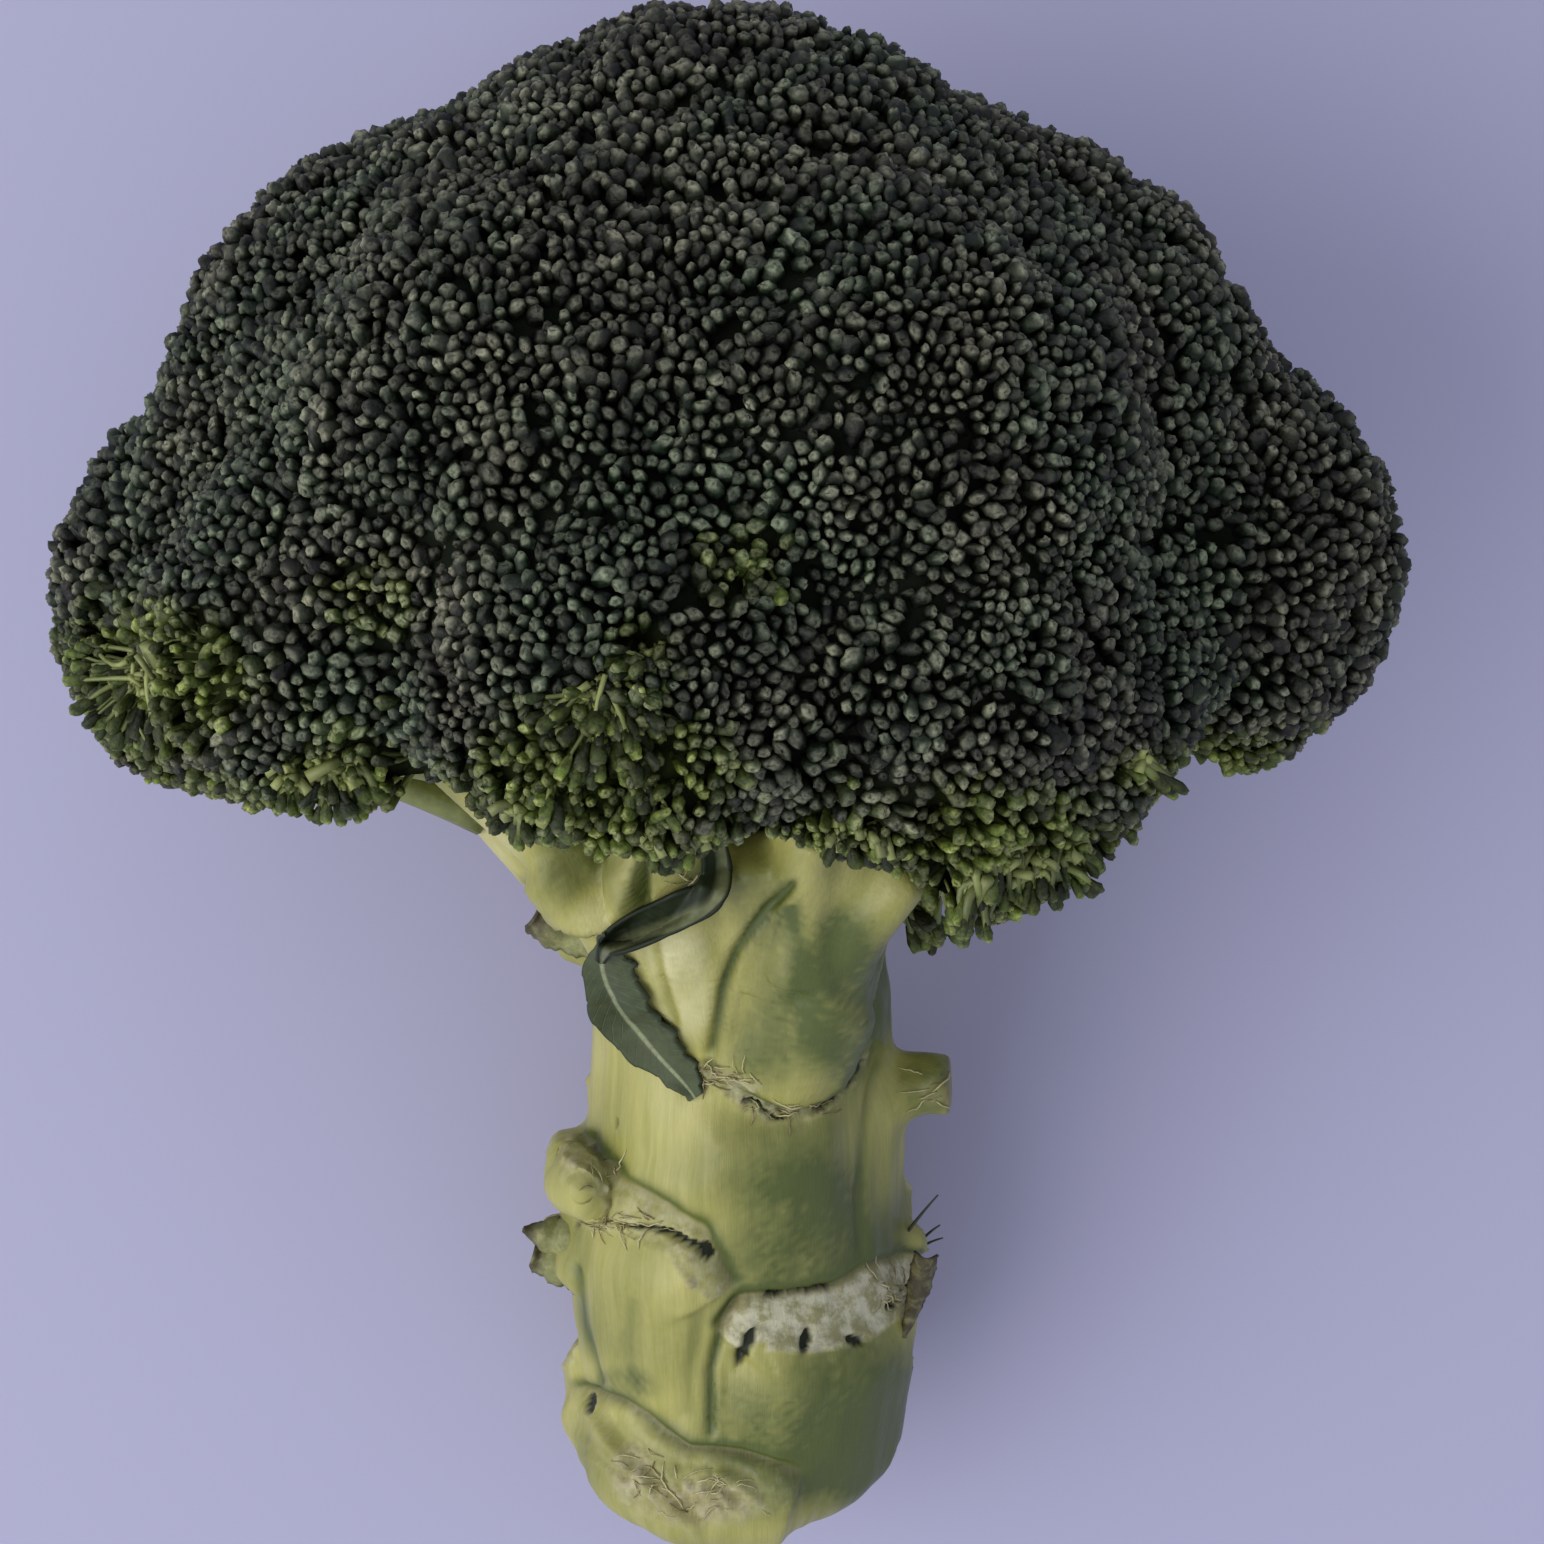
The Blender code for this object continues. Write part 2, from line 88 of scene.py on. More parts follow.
# Buds
BUD_SPACING = 1.38 * MM
BUD_CANDIDATES = 220000
BUD_SIDES = 8
BUD_PROFILE = (  # height and radius, as shares of the bud's own
    (-1.60, 0.34),
    (-1.00, 0.68),
    (-0.30, 0.95),
    (0.25, 1.00),
    (0.66, 0.88),
    (0.92, 0.62),
    (1.02, 0.30),
)
BUD_TIP = 0.92  # height of the dimple in the middle of its tip
BUD_FILL = 0.525  # a bud's radius as a share of the distance to its neighbours
BUD_PIECES = 15
STEM_PIECES = 2
STEM_RINGS = 6
STEM_SIDES = 5
FLOOR_GAP = 0.05 * MM  # between the lowest stems and the floor
FLORET_SPACING = 11.0 * MM
FLORET_DOME = 0.55 * MM
FLORET_GROOVE = 0.95 * MM
FLORET_ROOT = 12.0 * MM  # depth where the stems of its buds meet
RIM_WIDTH = 11.0 * MM  # how far up from the crown's lower rim the buds are younger and paler

# Spots in the photograph where buds are paler and stand apart, so that their stems show:
# across, down, half width and half height in its pixels, strength
TENDER_SPOTS = (
    (150, 680, 105, 85, 1.0),
    (340, 795, 75, 45, 0.9),
    (600, 775, 135, 80, 1.0),
    (745, 565, 45, 45, 0.45),
    (365, 600, 45, 50, 0.3),
    (640, 640, 30, 26, 0.9),
    (1010, 865, 125, 85, 1.0),
    (1155, 770, 55, 30, 0.6),
    (865, 850, 60, 40, 0.7),
)

# Spots where ordinary buds are left out: across, down, half width and half height, strength
BARE_SPOTS = (
    (432, 792, 34, 26, 1.0),
    (398, 772, 16, 14, 1.0),
    (612, 752, 62, 50, 0.85),
    (120, 672, 34, 26, 0.9),
    (172, 668, 13, 34, 1.0),
    (636, 642, 17, 16, 1.0),
    (945, 868, 13, 12, 1.0),
    (930, 900, 26, 24, 0.8),
)

# Small florets that hang from the rim or open in the crown: where their stem starts and where
# their tip is in the photograph's pixels, how wide they fan out in radians, number of buds
RIM_SPRIGS = (
    (898, 898, 936, 946, 0.40, 14),
    (925, 900, 950, 950, 0.35, 14),
    (976, 866, 966, 944, 0.22, 14),
    (986, 880, 980, 930, 0.22, 8),
    (1000, 850, 992, 905, 0.45, 10),
    (1012, 862, 1008, 914, 0.55, 14),
    (1036, 858, 1042, 914, 0.55, 16),
    (1060, 858, 1082, 902, 0.55, 16),
    (1075, 845, 1098, 872, 0.45, 10),
    (1142, 762, 1180, 788, 0.35, 10),
    (330, 765, 335, 822, 0.75, 26),
    (290, 770, 295, 820, 0.60, 18),
    (350, 772, 372, 812, 0.50, 12),
    (362, 770, 392, 790, 0.40, 8),
    (520, 805, 532, 842, 0.60, 12),
    (562, 812, 568, 846, 0.60, 12),
    (652, 830, 664, 872, 0.55, 12),
    (692, 835, 688, 878, 0.55, 12),
    (738, 845, 746, 888, 0.50, 12),
    (772, 850, 778, 884, 0.55, 12),
    (842, 830, 850, 862, 0.60, 12),
    (880, 838, 888, 872, 0.60, 12),
)
OPEN_SPRIGS = (
    (148, 668, 88, 690, 0.45, 22),
    (148, 672, 98, 722, 0.45, 22),
    (148, 676, 126, 742, 0.45, 22),
    (152, 678, 156, 748, 0.45, 22),
    (158, 676, 182, 742, 0.50, 20),
    (146, 664, 78, 664, 0.45, 18),
    (598, 690, 556, 762, 0.60, 20),
    (602, 694, 584, 792, 0.60, 20),
    (606, 696, 612, 802, 0.60, 20),
    (612, 692, 642, 782, 0.60, 20),
    (618, 688, 668, 744, 0.60, 16),
    (592, 688, 532, 736, 0.60, 16),
    (560, 760, 548, 822, 0.60, 14),
    (640, 770, 650, 832, 0.60, 14),
    (655, 655, 604, 690, 0.55, 8),
    (660, 660, 664, 702, 0.55, 8),
    (760, 565, 745, 605, 0.60, 10),
    (740, 560, 770, 610, 0.60, 10),
    (365, 590, 360, 635, 0.60, 10),
)
RIM_DEPTH = 1.2 * MM  # of a sprig's root below the crown's surface
OPEN_DEPTH = 2.4 * MM
SPRIG_STEM = 0.85 * MM
SPRIG_DROP = 5 * MM  # how far its tip may lie below its root

# Leaf scars seen in the photograph: the line of their upper edge in its pixels, height of the
# whitish face below it, how far it stands out, how torn and how pale it is
SEEN_SCARS = (
    (((858, 1032), (839, 1076), (807, 1103), (772, 1104), (735, 1084), (698, 1060)),
     1.9 * MM, -0.35 * MM, 0.7, 0.40),
    (((572, 1128), (588, 1138), (605, 1160), (630, 1180), (668, 1202), (702, 1226), (735, 1292)),
     4.6 * MM, 1.25 * MM, 0.45, 0.30),
    (((712, 1330), (742, 1297), (795, 1295), (837, 1287), (868, 1268), (905, 1256), (930, 1262)),
     6.2 * MM, 1.80 * MM, 0.30, 0.85),
    (((570, 1385), (592, 1392), (626, 1404), (658, 1427), (690, 1447), (740, 1453), (808, 1474)),
     6.6 * MM, 1.40 * MM, 0.15, 0.05),
)
# Slots where leaf veins broke off, painted near black as the shade in them: across, down, half
# width and half height in pixels, lean
VEIN_SLOTS = (
    (745, 1343, 7, 27, -0.40),
    (799, 1337, 6, 18, -0.25),
    (844, 1340, 9, 8, 0.2),
    (903, 1287, 10, 5, 0.3),
    (880, 1305, 7, 6, 0.0),
    (849, 1077, 8, 17, -0.5),
    (593, 1403, 5, 11, 0.5),
    (708, 1250, 5, 10, 0.5),
    (613, 1124, 3, 3, 0.0),
    (706, 1120, 4, 2, 0.0),
)
# Gaps under the edges of scars, painted near black as the shade in them: their line in the
# photograph's pixels, half width
POCKETS = (
    (((812, 1109), (832, 1096), (847, 1078), (857, 1054)), 0.42 * MM),
    (((742, 1098), (760, 1107), (776, 1118), (792, 1116)), 0.12 * MM),
    (((579, 1228), (590, 1218), (612, 1217), (640, 1223), (672, 1229), (697, 1243), (712, 1262)),
     0.26 * MM),
    (((764, 1299), (785, 1295), (810, 1292), (834, 1286)), 0.13 * MM),
)
# Edges along which the skin above stands out from the skin below: their line in the photograph's
# pixels, height, how far up it reaches
EDGES = (
    (((520, 872), (545, 898), (562, 917), (590, 928), (612, 925), (632, 916), (639, 898), (642, 850)),
     2.1 * MM, 5 * MM),
    (((702, 1060), (735, 1085), (772, 1102), (806, 1102), (836, 1076), (856, 1032), (873, 992)),
     1.3 * MM, 8 * MM),
)
# Scars on the sides that the photograph doesn't show: azimuth, height, half width, face
HIDDEN_SCARS = (
    (235, -0.0600, 0.0140, 0.0064),
    (318, -0.0730, 0.0140, 0.0064),
    (200, -0.0930, 0.0130, 0.0066),
)
# Grain of the skin: where the branches leave the stem, how far below that they would meet, radius
# of the stem, how much shorter the grain is along than across
FORK_HEIGHT = -35 * MM
FORK_REACH = 20 * MM
GRAIN_RADIUS = 18 * MM
GRAIN_STRETCH = 0.07
SCAR_SAG = 0.30
SCAR_FALL = 9 * MM  # how far below a scar its pad has sunk back into the stalk
# Creases of the skin: their line in the photograph's pixels, width, depth, how much painted shade
# darkens it green
CREASES = (
    (((640, 845), (643, 890), (655, 950), (668, 1000), (681, 1036)), 0.45 * MM, 0.40 * MM, 0.8),
    (((801, 876), (766, 910), (737, 950), (722, 988), (715, 1030), (711, 1062)),
     0.55 * MM, 0.70 * MM, 0.9),
    (((589, 1398), (616, 1440), (658, 1488), (705, 1530)), 0.60 * MM, -0.75 * MM, -0.8),
    (((716, 1468), (740, 1482), (762, 1500)), 0.50 * MM, -0.60 * MM, -0.5),
    (((578, 1378), (600, 1394), (626, 1406), (656, 1429), (692, 1447), (740, 1453), (800, 1468)),
     0.42 * MM, 0.60 * MM, 1.0),
    (((712, 1322), (742, 1298), (795, 1293), (837, 1284), (868, 1266)), 0.40 * MM, 0.30 * MM, 0.8),
    (((892, 940), (868, 1005), (853, 1048), (836, 1084)), 0.60 * MM, 0.60 * MM, 0.6),
    (((880, 1050), (866, 1120), (858, 1200), (862, 1262)), 0.55 * MM, 0.35 * MM, 0.4),
    (((738, 1292), (721, 1326), (711, 1368), (711, 1440)), 0.50 * MM, 0.60 * MM, 0.9),
    (((578, 1258), (587, 1322), (606, 1392)), 0.55 * MM, 0.40 * MM, 0.6),
    (((790, 900), (800, 960), (802, 1000)), 1.20 * MM, 0.25 * MM, 0.5),
    (((700, 1300), (690, 1360), (688, 1420)), 0.9 * MM, 0.18 * MM, 0.3),
    (((640, 1290), (632, 1340), (640, 1400)), 0.9 * MM, 0.15 * MM, 0.25),
)
STALK_VOXEL = 0.84 * MM
# Limbs that the stalk's solid doesn't have in full: across and down in the photograph's pixels,
# height above the table and radius along each
ADDED_LIMBS = (
    ((655, 985, 0.0520, 0.0050), (616, 902, 0.0600, 0.0055), (560, 843, 0.0650, 0.0046),
     (496, 785, 0.0690, 0.0044), (441, 733, 0.0720, 0.0042), (388, 680, 0.0740, 0.0038)),
    ((765, 965, 0.0600, 0.0040), (755, 905, 0.0660, 0.0042), (750, 850, 0.0720, 0.0040)),
    ((840, 960, 0.0620, 0.0040), (862, 925, 0.0690, 0.0034), (885, 900, 0.0730, 0.0030),
     (915, 872, 0.0750, 0.0024)),
    ((800, 960, 0.0640, 0.0042), (806, 905, 0.0700, 0.0036), (812, 860, 0.0760, 0.0032),
     (815, 830, 0.0800, 0.0030)),
    ((600, 1185, 0.0400, 0.0034), (575, 1176, 0.0370, 0.0033), (562, 1172, 0.0360, 0.0028)),
    ((605, 1266, 0.0310, 0.0040), (580, 1262, 0.0300, 0.0036), (556, 1258, 0.0300, 0.0024)),
    ((890, 1090, 0.0350, 0.0024), (912, 1089, 0.0352, 0.0027), (932, 1087, 0.0354, 0.0033),
     (950, 1086, 0.0355, 0.0039)),
)
# Thin torn flaps: across and down in the photograph's pixels, height above the table and half
# width along each, and how dry it is
FLAPS = (
    (((632, 950, 0.0490, 0.0012), (606, 944, 0.0480, 0.0018), (578, 935, 0.0475, 0.0024),
      (552, 925, 0.0475, 0.0025), (535, 916, 0.0480, 0.0018)), 0.10),
    (((590, 1240, 0.0335, 0.0036), (566, 1240, 0.0325, 0.0034), (544, 1236, 0.0315, 0.0020),
      (523, 1229, 0.0310, 0.0002)), 0.25),
    (((594, 1268, 0.0325, 0.0040), (570, 1264, 0.0315, 0.0038), (548, 1258, 0.0300, 0.0030),
      (533, 1254, 0.0300, 0.0016)), 0.10),
    (((903, 1338, 0.0330, 0.0002), (912, 1312, 0.0335, 0.0008), (920, 1286, 0.0345, 0.0013),
      (926, 1258, 0.0360, 0.0013)), 1.0),
)
FLAP_STEPS = 28
FLAP_STRIPS = 8
FLAP_THICKNESS = 0.40 * MM
# Swellings of the skin: across, down, half width and half height in pixels, height
SWELLINGS = (
    (795, 1025, 92, 85, 1.3 * MM),
    (640, 1195, 85, 34, 0.8 * MM),
    (648, 1320, 80, 90, 0.8 * MM),
    (810, 1400, 105, 80, 0.7 * MM),
    (655, 1470, 90, 45, 0.7 * MM),
)
# Painted shade on the skin, darker green where shade falls, which is negative for painted light
# where the skin is paler: across, down, half width and half height in pixels, strength
SHADES = (
    (800, 1235, 90, 85, 0.80),
    (770, 1160, 90, 50, 0.35),
    (845, 1000, 45, 90, 0.80),
    (855, 940, 40, 50, 0.55),
    (780, 1030, 60, 50, 0.60),
    (800, 950, 60, 60, 0.55),
    (575, 850, 60, 40, 0.75),
    (735, 1420, 40, 50, 0.60),
    (850, 1420, 100, 95, 0.90),
    (760, 1480, 60, 40, 0.60),
    (625, 1385, 40, 22, 0.60),
    (760, 900, 40, 50, 0.60),
    (690, 870, 40, 24, 0.40),
    (685, 980, 34, 60, -0.75),
    (640, 950, 40, 50, -0.50),
    (602, 908, 34, 24, -0.60),
    (490, 840, 60, 40, -0.40),
    (600, 1120, 60, 60, 0.12),
    (640, 1320, 60, 70, 0.26),
    (640, 1450, 70, 50, 0.30),
    (928, 1088, 40, 40, 0.95),
    (575, 1250, 26, 40, 0.35),
)
# Painted shade on the side of the stalk that faces away from the light.
RIGHT_SHADE = 0.38  # on the skin that faces to the right
# Brown, dried skin, in the same way
BROWN_SPOTS = (
    (541, 912, 13, 20, 0.9),
    (545, 1255, 14, 22, 0.9),
    (575, 1165, 14, 10, 0.4),
    (930, 1275, 10, 22, 0.8),
    (951, 1086, 6, 34, 0.9),
    (700, 1500, 60, 22, 0.55),
    (640, 1470, 24, 30, 0.35),
    (722, 1070, 24, 14, 0.35),
)
# Rough, torn places, in the same way
ROUGH_SPOTS = (
    (705, 1496, 66, 26, 1.0),
    (640, 1472, 20, 34, 0.9),
    (735, 1074, 34, 12, 0.8),
    (780, 1110, 40, 8, 0.8),
    (893, 1294, 22, 20, 0.9),
    (932, 1092, 13, 16, 0.5),
    (590, 1170, 26, 16, 0.7),
    (632, 1226, 40, 8, 0.7),
)
# Torn fibres: across, down, half width and half height in pixels, how many
FIBRE_SPOTS = (
    (726, 1074, 30, 10, 26),
    (790, 1110, 40, 6, 14),
    (632, 1224, 40, 6, 30),
    (600, 1180, 18, 10, 6),
    (896, 1292, 18, 14, 18),
    (705, 1497, 58, 20, 24),
    (640, 1472, 12, 26, 10),
    (927, 1088, 12, 16, 8),
    (688, 876, 14, 10, 8),
)
# Dark bristles: their start and end in the photograph's pixels
BRISTLES = (
    (906, 1231, 938, 1195),
    (914, 1244, 940, 1225),
    (922, 1257, 943, 1238),
    (920, 1122, 947, 1134),
)

# Leaf: across and down in the photograph's pixels along the middle of its stem and of its blade,
# then how far each reaches to its right-hand and left-hand side
LEAF_STEM = (
    (707, 822, 0.0010, 0.0010),
    (715, 848, 0.0013, 0.0013),
    (718, 876, 0.0016, 0.0015),
    (709, 899, 0.0020, 0.0015),
    (685, 913, 0.0024, 0.0015),
    (657, 923, 0.0022, 0.0016),
    (631, 933, 0.0018, 0.0015),
    (613, 941, 0.0013, 0.0012),
    (604, 951, 0.0008, 0.0008),
    (601, 963, 0.0004, 0.0004),
)
LEAF_BLADE = (
    (613, 937, 0.0008, 0.0010),
    (604, 948, 0.0010, 0.0024),
    (602, 962, 0.0018, 0.0032),
    (608, 984, 0.0028, 0.0033),
    (622, 1008, 0.0035, 0.0031),
    (642, 1034, 0.0032, 0.0030),
    (660, 1056, 0.0023, 0.0027),
    (676, 1073, 0.0016, 0.0022),
    (689, 1088, 0.0011, 0.0016),
    (696, 1098, 0.0006, 0.0007),
)
LEAF_STEPS = 90
LEAF_STRIPS = 16
LEAF_THICKNESS = 0.45 * MM
LEAF_CLEARANCE = 0.45 * MM  # of its middle above what it lies on
LEAF_DROOP = 1.2 * MM  # how far its edges may hang below its middle

# Floor
FLOOR_COLOR = (0.405, 0.395, 0.565)
FLOOR_REACH = 8.0


def to_stem(points):
    return (points - CROWN_CENTRE) @ STEM_AXES.T


def from_stem(points):
    return points @ STEM_AXES + CROWN_CENTRE


def turned_to_stem(directions):
    return directions @ STEM_AXES.T


def azimuths_of(stem_points):
    return np.arctan2(-stem_points[:, 1], stem_points[:, 0]) % math.tau


def unit(vectors):
    lengths = np.linalg.norm(vectors, axis=-1, keepdims=True)
    return vectors / np.maximum(lengths, 1e-12)


def eased(low, high, values):
    share = np.clip((values - low) / (high - low), 0, 1)
    return share * share * (3 - 2 * share)


def bell(values, width):
    return np.exp(-((values / width) ** 2))


def waves(points, wavelength, seed, count=14):
    """A smooth random value for each point, mostly from -1 to 1."""
    dice = np.random.default_rng(seed)
    directions = unit(dice.normal(size=(count, 3)))
    lengths = wavelength * dice.uniform(0.7, 1.6, count)
    phases = dice.uniform(0, math.tau, count)
    angles = points @ (directions / lengths[:, None]).T * math.tau + phases
    return np.sin(angles).sum(axis=1) / math.sqrt(count)


def pixels_of(points):
    """Where the camera sees these points, in the photograph's pixels."""
    x, y, height = CAMERA_PLACE
    size = PIXEL_SHARE * (height - points[:, 2])
    middle = PHOTO_PIXELS / 2
    return np.stack(
        [middle + (points[:, 0] - x) / size, middle - (points[:, 1] - y) / size], axis=1
    )


def under_pixel(tree, across, down):
    """The place and normal of the surface that the camera sees at a pixel of the photograph."""
    start = Vector(CAMERA_PLACE)
    middle = PHOTO_PIXELS / 2
    ray = Vector(((across - middle) * PIXEL_SHARE, (middle - down) * PIXEL_SHARE, -1))
    place, normal, _, _ = tree.ray_cast(start, ray.normalized())
    return place, normal


def at_pixel(across, down, height):
    """The point at this height above the table that the camera sees at a pixel."""
    x, y, camera_height = CAMERA_PLACE
    size = PIXEL_SHARE * (camera_height - height)
    middle = PHOTO_PIXELS / 2
    return np.array((x + (across - middle) * size, y + (middle - down) * size, height))


def beside_line(pixels, line):
    """Each pixel's distance to a line of the photograph, in metres, which is positive on its
    right-hand side, and its place along the line from -1 to 1."""
    corners = np.array(line, float)
    lengths = np.linalg.norm(np.diff(corners, axis=0), axis=1)
    starts = np.concatenate([[0], np.cumsum(lengths)])
    best = np.full(len(pixels), 1e9)
    sign, place = np.ones((2, len(pixels)))
    for i, length in enumerate(lengths):
        step = (corners[i + 1] - corners[i]) / length
        away = pixels - corners[i]
        along = np.clip(away @ step, 0, length)
        distance = np.linalg.norm(away - along[:, None] * step, axis=1)
        side = step[0] * away[:, 1] - step[1] * away[:, 0]
        nearer = distance < best
        best = np.where(nearer, distance, best)
        sign = np.where(nearer, np.where(side < 0, -1, 1), sign)
        place = np.where(nearer, starts[i] + along, place)
    return best * sign * PIXEL_SHARE * 0.36, place / starts[-1] * 2 - 1


def spot_shares(points, normals, spots):
    """How much each point is in each of the photograph's spots, on the side that it shows."""
    seen = eased(-0.1, 0.25, normals[:, 2])
    across, down = pixels_of(points).T
    for u, v, half_width, half_height, strength in spots:
        away = np.hypot((across - u) / half_width, (down - v) / half_height)
        yield strength * (1 - eased(0.45, 1.25, away)) * seen


def in_spots(points, normals, spots):
    """How much each point is in the strongest of the spots at its place."""
    return np.maximum.reduce(list(spot_shares(points, normals, spots)))


# Meshes from arrays and back


def remeshed(node, voxel, rounds, added=None):
    """A copy of a node's surface with even faces, smoothed, with an added mesh grown into it."""
    bm = bmesh.new()
    bm.from_mesh(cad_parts[node].data)
    if added is not None:
        bm.from_mesh(added)
    mesh = bpy.data.meshes.new("skin")
    bm.to_mesh(mesh)
    bm.free()
    obj = bpy.data.objects.new("skin", mesh)
    bpy.context.scene.collection.objects.link(obj)
    remesh = obj.modifiers.new("Even", "REMESH")
    remesh.mode = "VOXEL"
    remesh.voxel_size = voxel
    smooth = obj.modifiers.new("Soften", "SMOOTH")
    smooth.factor = 0.5
    smooth.iterations = rounds
    bpy.context.view_layer.update()
    depsgraph = bpy.context.evaluated_depsgraph_get()
    mesh = bpy.data.meshes.new_from_object(obj.evaluated_get(depsgraph))
    bpy.data.objects.remove(obj)
    return mesh


def points_of(mesh):
    values = np.empty(len(mesh.vertices) * 3, np.float32)
    mesh.vertices.foreach_get("co", values)
    return values.reshape(-1, 3).astype(float)


def normals_of(mesh):
    values = np.empty(len(mesh.vertices) * 3, np.float32)
    mesh.vertex_normals.foreach_get("vector", values)
    return values.reshape(-1, 3).astype(float)


def triangles_of(mesh):
    mesh.calc_loop_triangles()
    values = np.empty(len(mesh.loop_triangles) * 3, np.int32)
    mesh.loop_triangles.foreach_get("vertices", values)
    return values.reshape(-1, 3)


def mesh_of(name, points, faces):
    """A smooth mesh from its points and faces, which all have the same number of sides."""
    mesh = bpy.data.meshes.new(name)
    mesh.vertices.add(len(points))
    mesh.vertices.foreach_set("co", points.astype(np.float32).ravel())
    mesh.loops.add(faces.size)
    mesh.loops.foreach_set("vertex_index", faces.astype(np.int32).ravel())
    mesh.polygons.add(len(faces))
    starts = np.arange(0, faces.size, faces.shape[1], dtype=np.int32)
    mesh.polygons.foreach_set("loop_start", starts)
    mesh.update(calc_edges=True)
    mesh.shade_smooth()
    return mesh


def add_values(mesh, name, values):
    """Gives each vertex the four values that its material reads."""
    layer = mesh.attributes.new(name, "FLOAT_COLOR", "POINT")
    layer.data.foreach_set("color", values.astype(np.float32).ravel())


def add_piece(name, mesh, material, node):
    obj = bpy.data.objects.new(name, mesh)
    bpy.context.scene.collection.objects.link(obj)
    mesh.materials.clear()
    mesh.materials.append(material)
    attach(obj, "root")
    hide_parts(node)
    return obj


def inside_box(points):
    """The points, moved to just inside the solids' box where they stand out of it."""
    low, high = np.array(cad_box)
    return np.clip(points, low + 0.02 * MM, high - 0.02 * MM)


def tree_of(points):
    tree = KDTree(len(points))
    for i, point in enumerate(points):
        tree.insert(point, i)
    tree.balance()
    return tree


def nearest_places(surface, points):
    """The nearest place on the surface to each point, and its normal."""
    found = [surface.find_nearest(Vector(point)) for point in points]
    places = np.array([place[:] for place, _, _, _ in found])
    normals = np.array([normal[:] for _, normal, _, _ in found])
    return places, normals


def tubes(paths, radii, sides):
    """Points and triangles of closed tapered tubes, one for each row of the paths."""
    count, steps, _ = paths.shape
    along = unit(np.gradient(paths, axis=1))
    middle = along.mean(axis=1)
    reference = np.where(np.abs(middle[:, 2:3]) < 0.8, (0.0, 0.0, 1.0), (1.0, 0.0, 0.0))
    side = unit(np.cross(along, reference[:, None, :]))
    other = np.cross(along, side)
    angles = np.arange(sides) * math.tau / sides
    ring = (
        side[:, :, None, :] * np.cos(angles)[:, None] + other[:, :, None, :] * np.sin(angles)[:, None]
    )
    walls = paths[:, :, None, :] + ring * radii[:, :, None, None]
    ends = paths[:, (0, -1), :]
    points = np.concatenate([walls.reshape(count, -1, 3), ends], axis=1)
    return points.reshape(-1, 3), repeated(tube_faces(steps, sides), count, points.shape[1])


def tube_faces(steps, sides):
    """Triangles of one tube whose rings come first and whose two end points come last."""
    faces = []
    first_end = steps * sides
    for s in range(sides):
        t = (s + 1) % sides
        for i in range(steps - 1):
            a, b = i * sides + s, i * sides + t
            c, d = a + sides, b + sides
            faces += [(a, b, d), (a, d, c)]
        last = (steps - 1) * sides
        faces += [(first_end, t, s), (first_end + 1, last + s, last + t)]
    return np.array(faces)


def repeated(faces, count, stride):
    """The same faces for each of many parts that have this many points each."""
    shifts = np.arange(count)[:, None, None] * stride
    return (faces[None, :, :] + shifts).reshape(-1, faces.shape[1])


def curve(start, bend, end, count):
    """Points along curves from each start to each end, pulled towards the bend between them."""
    steps = np.linspace(0, 1, count)[None, :, None]
    start, bend, end = start[:, None], bend[:, None], end[:, None]
    return (1 - steps) ** 2 * start + 2 * steps * (1 - steps) * bend + steps**2 * end


def above_floor(paths, radii):
    """The paths, raised where a tube of these radii would touch the floor."""
    paths[:, :, 2] = np.maximum(paths[:, :, 2], radii + FLOOR_GAP)
    return paths


def add_tubes(name, paths, radii, sides, layer, along, tones, material, node="crown"):
    """A piece of tapered tubes that carry a value along them and a tone each."""
    points, faces = tubes(paths, radii, sides)
    values = np.ones((len(paths), len(points) // len(paths), 4))
    values[:, :, 0] = along
    values[:, :, 1] = tones[:, None]
    mesh = mesh_of(name, points, faces)
    add_values(mesh, layer, values.reshape(-1, 4))
    add_piece(name, mesh, material, node)


# Materials


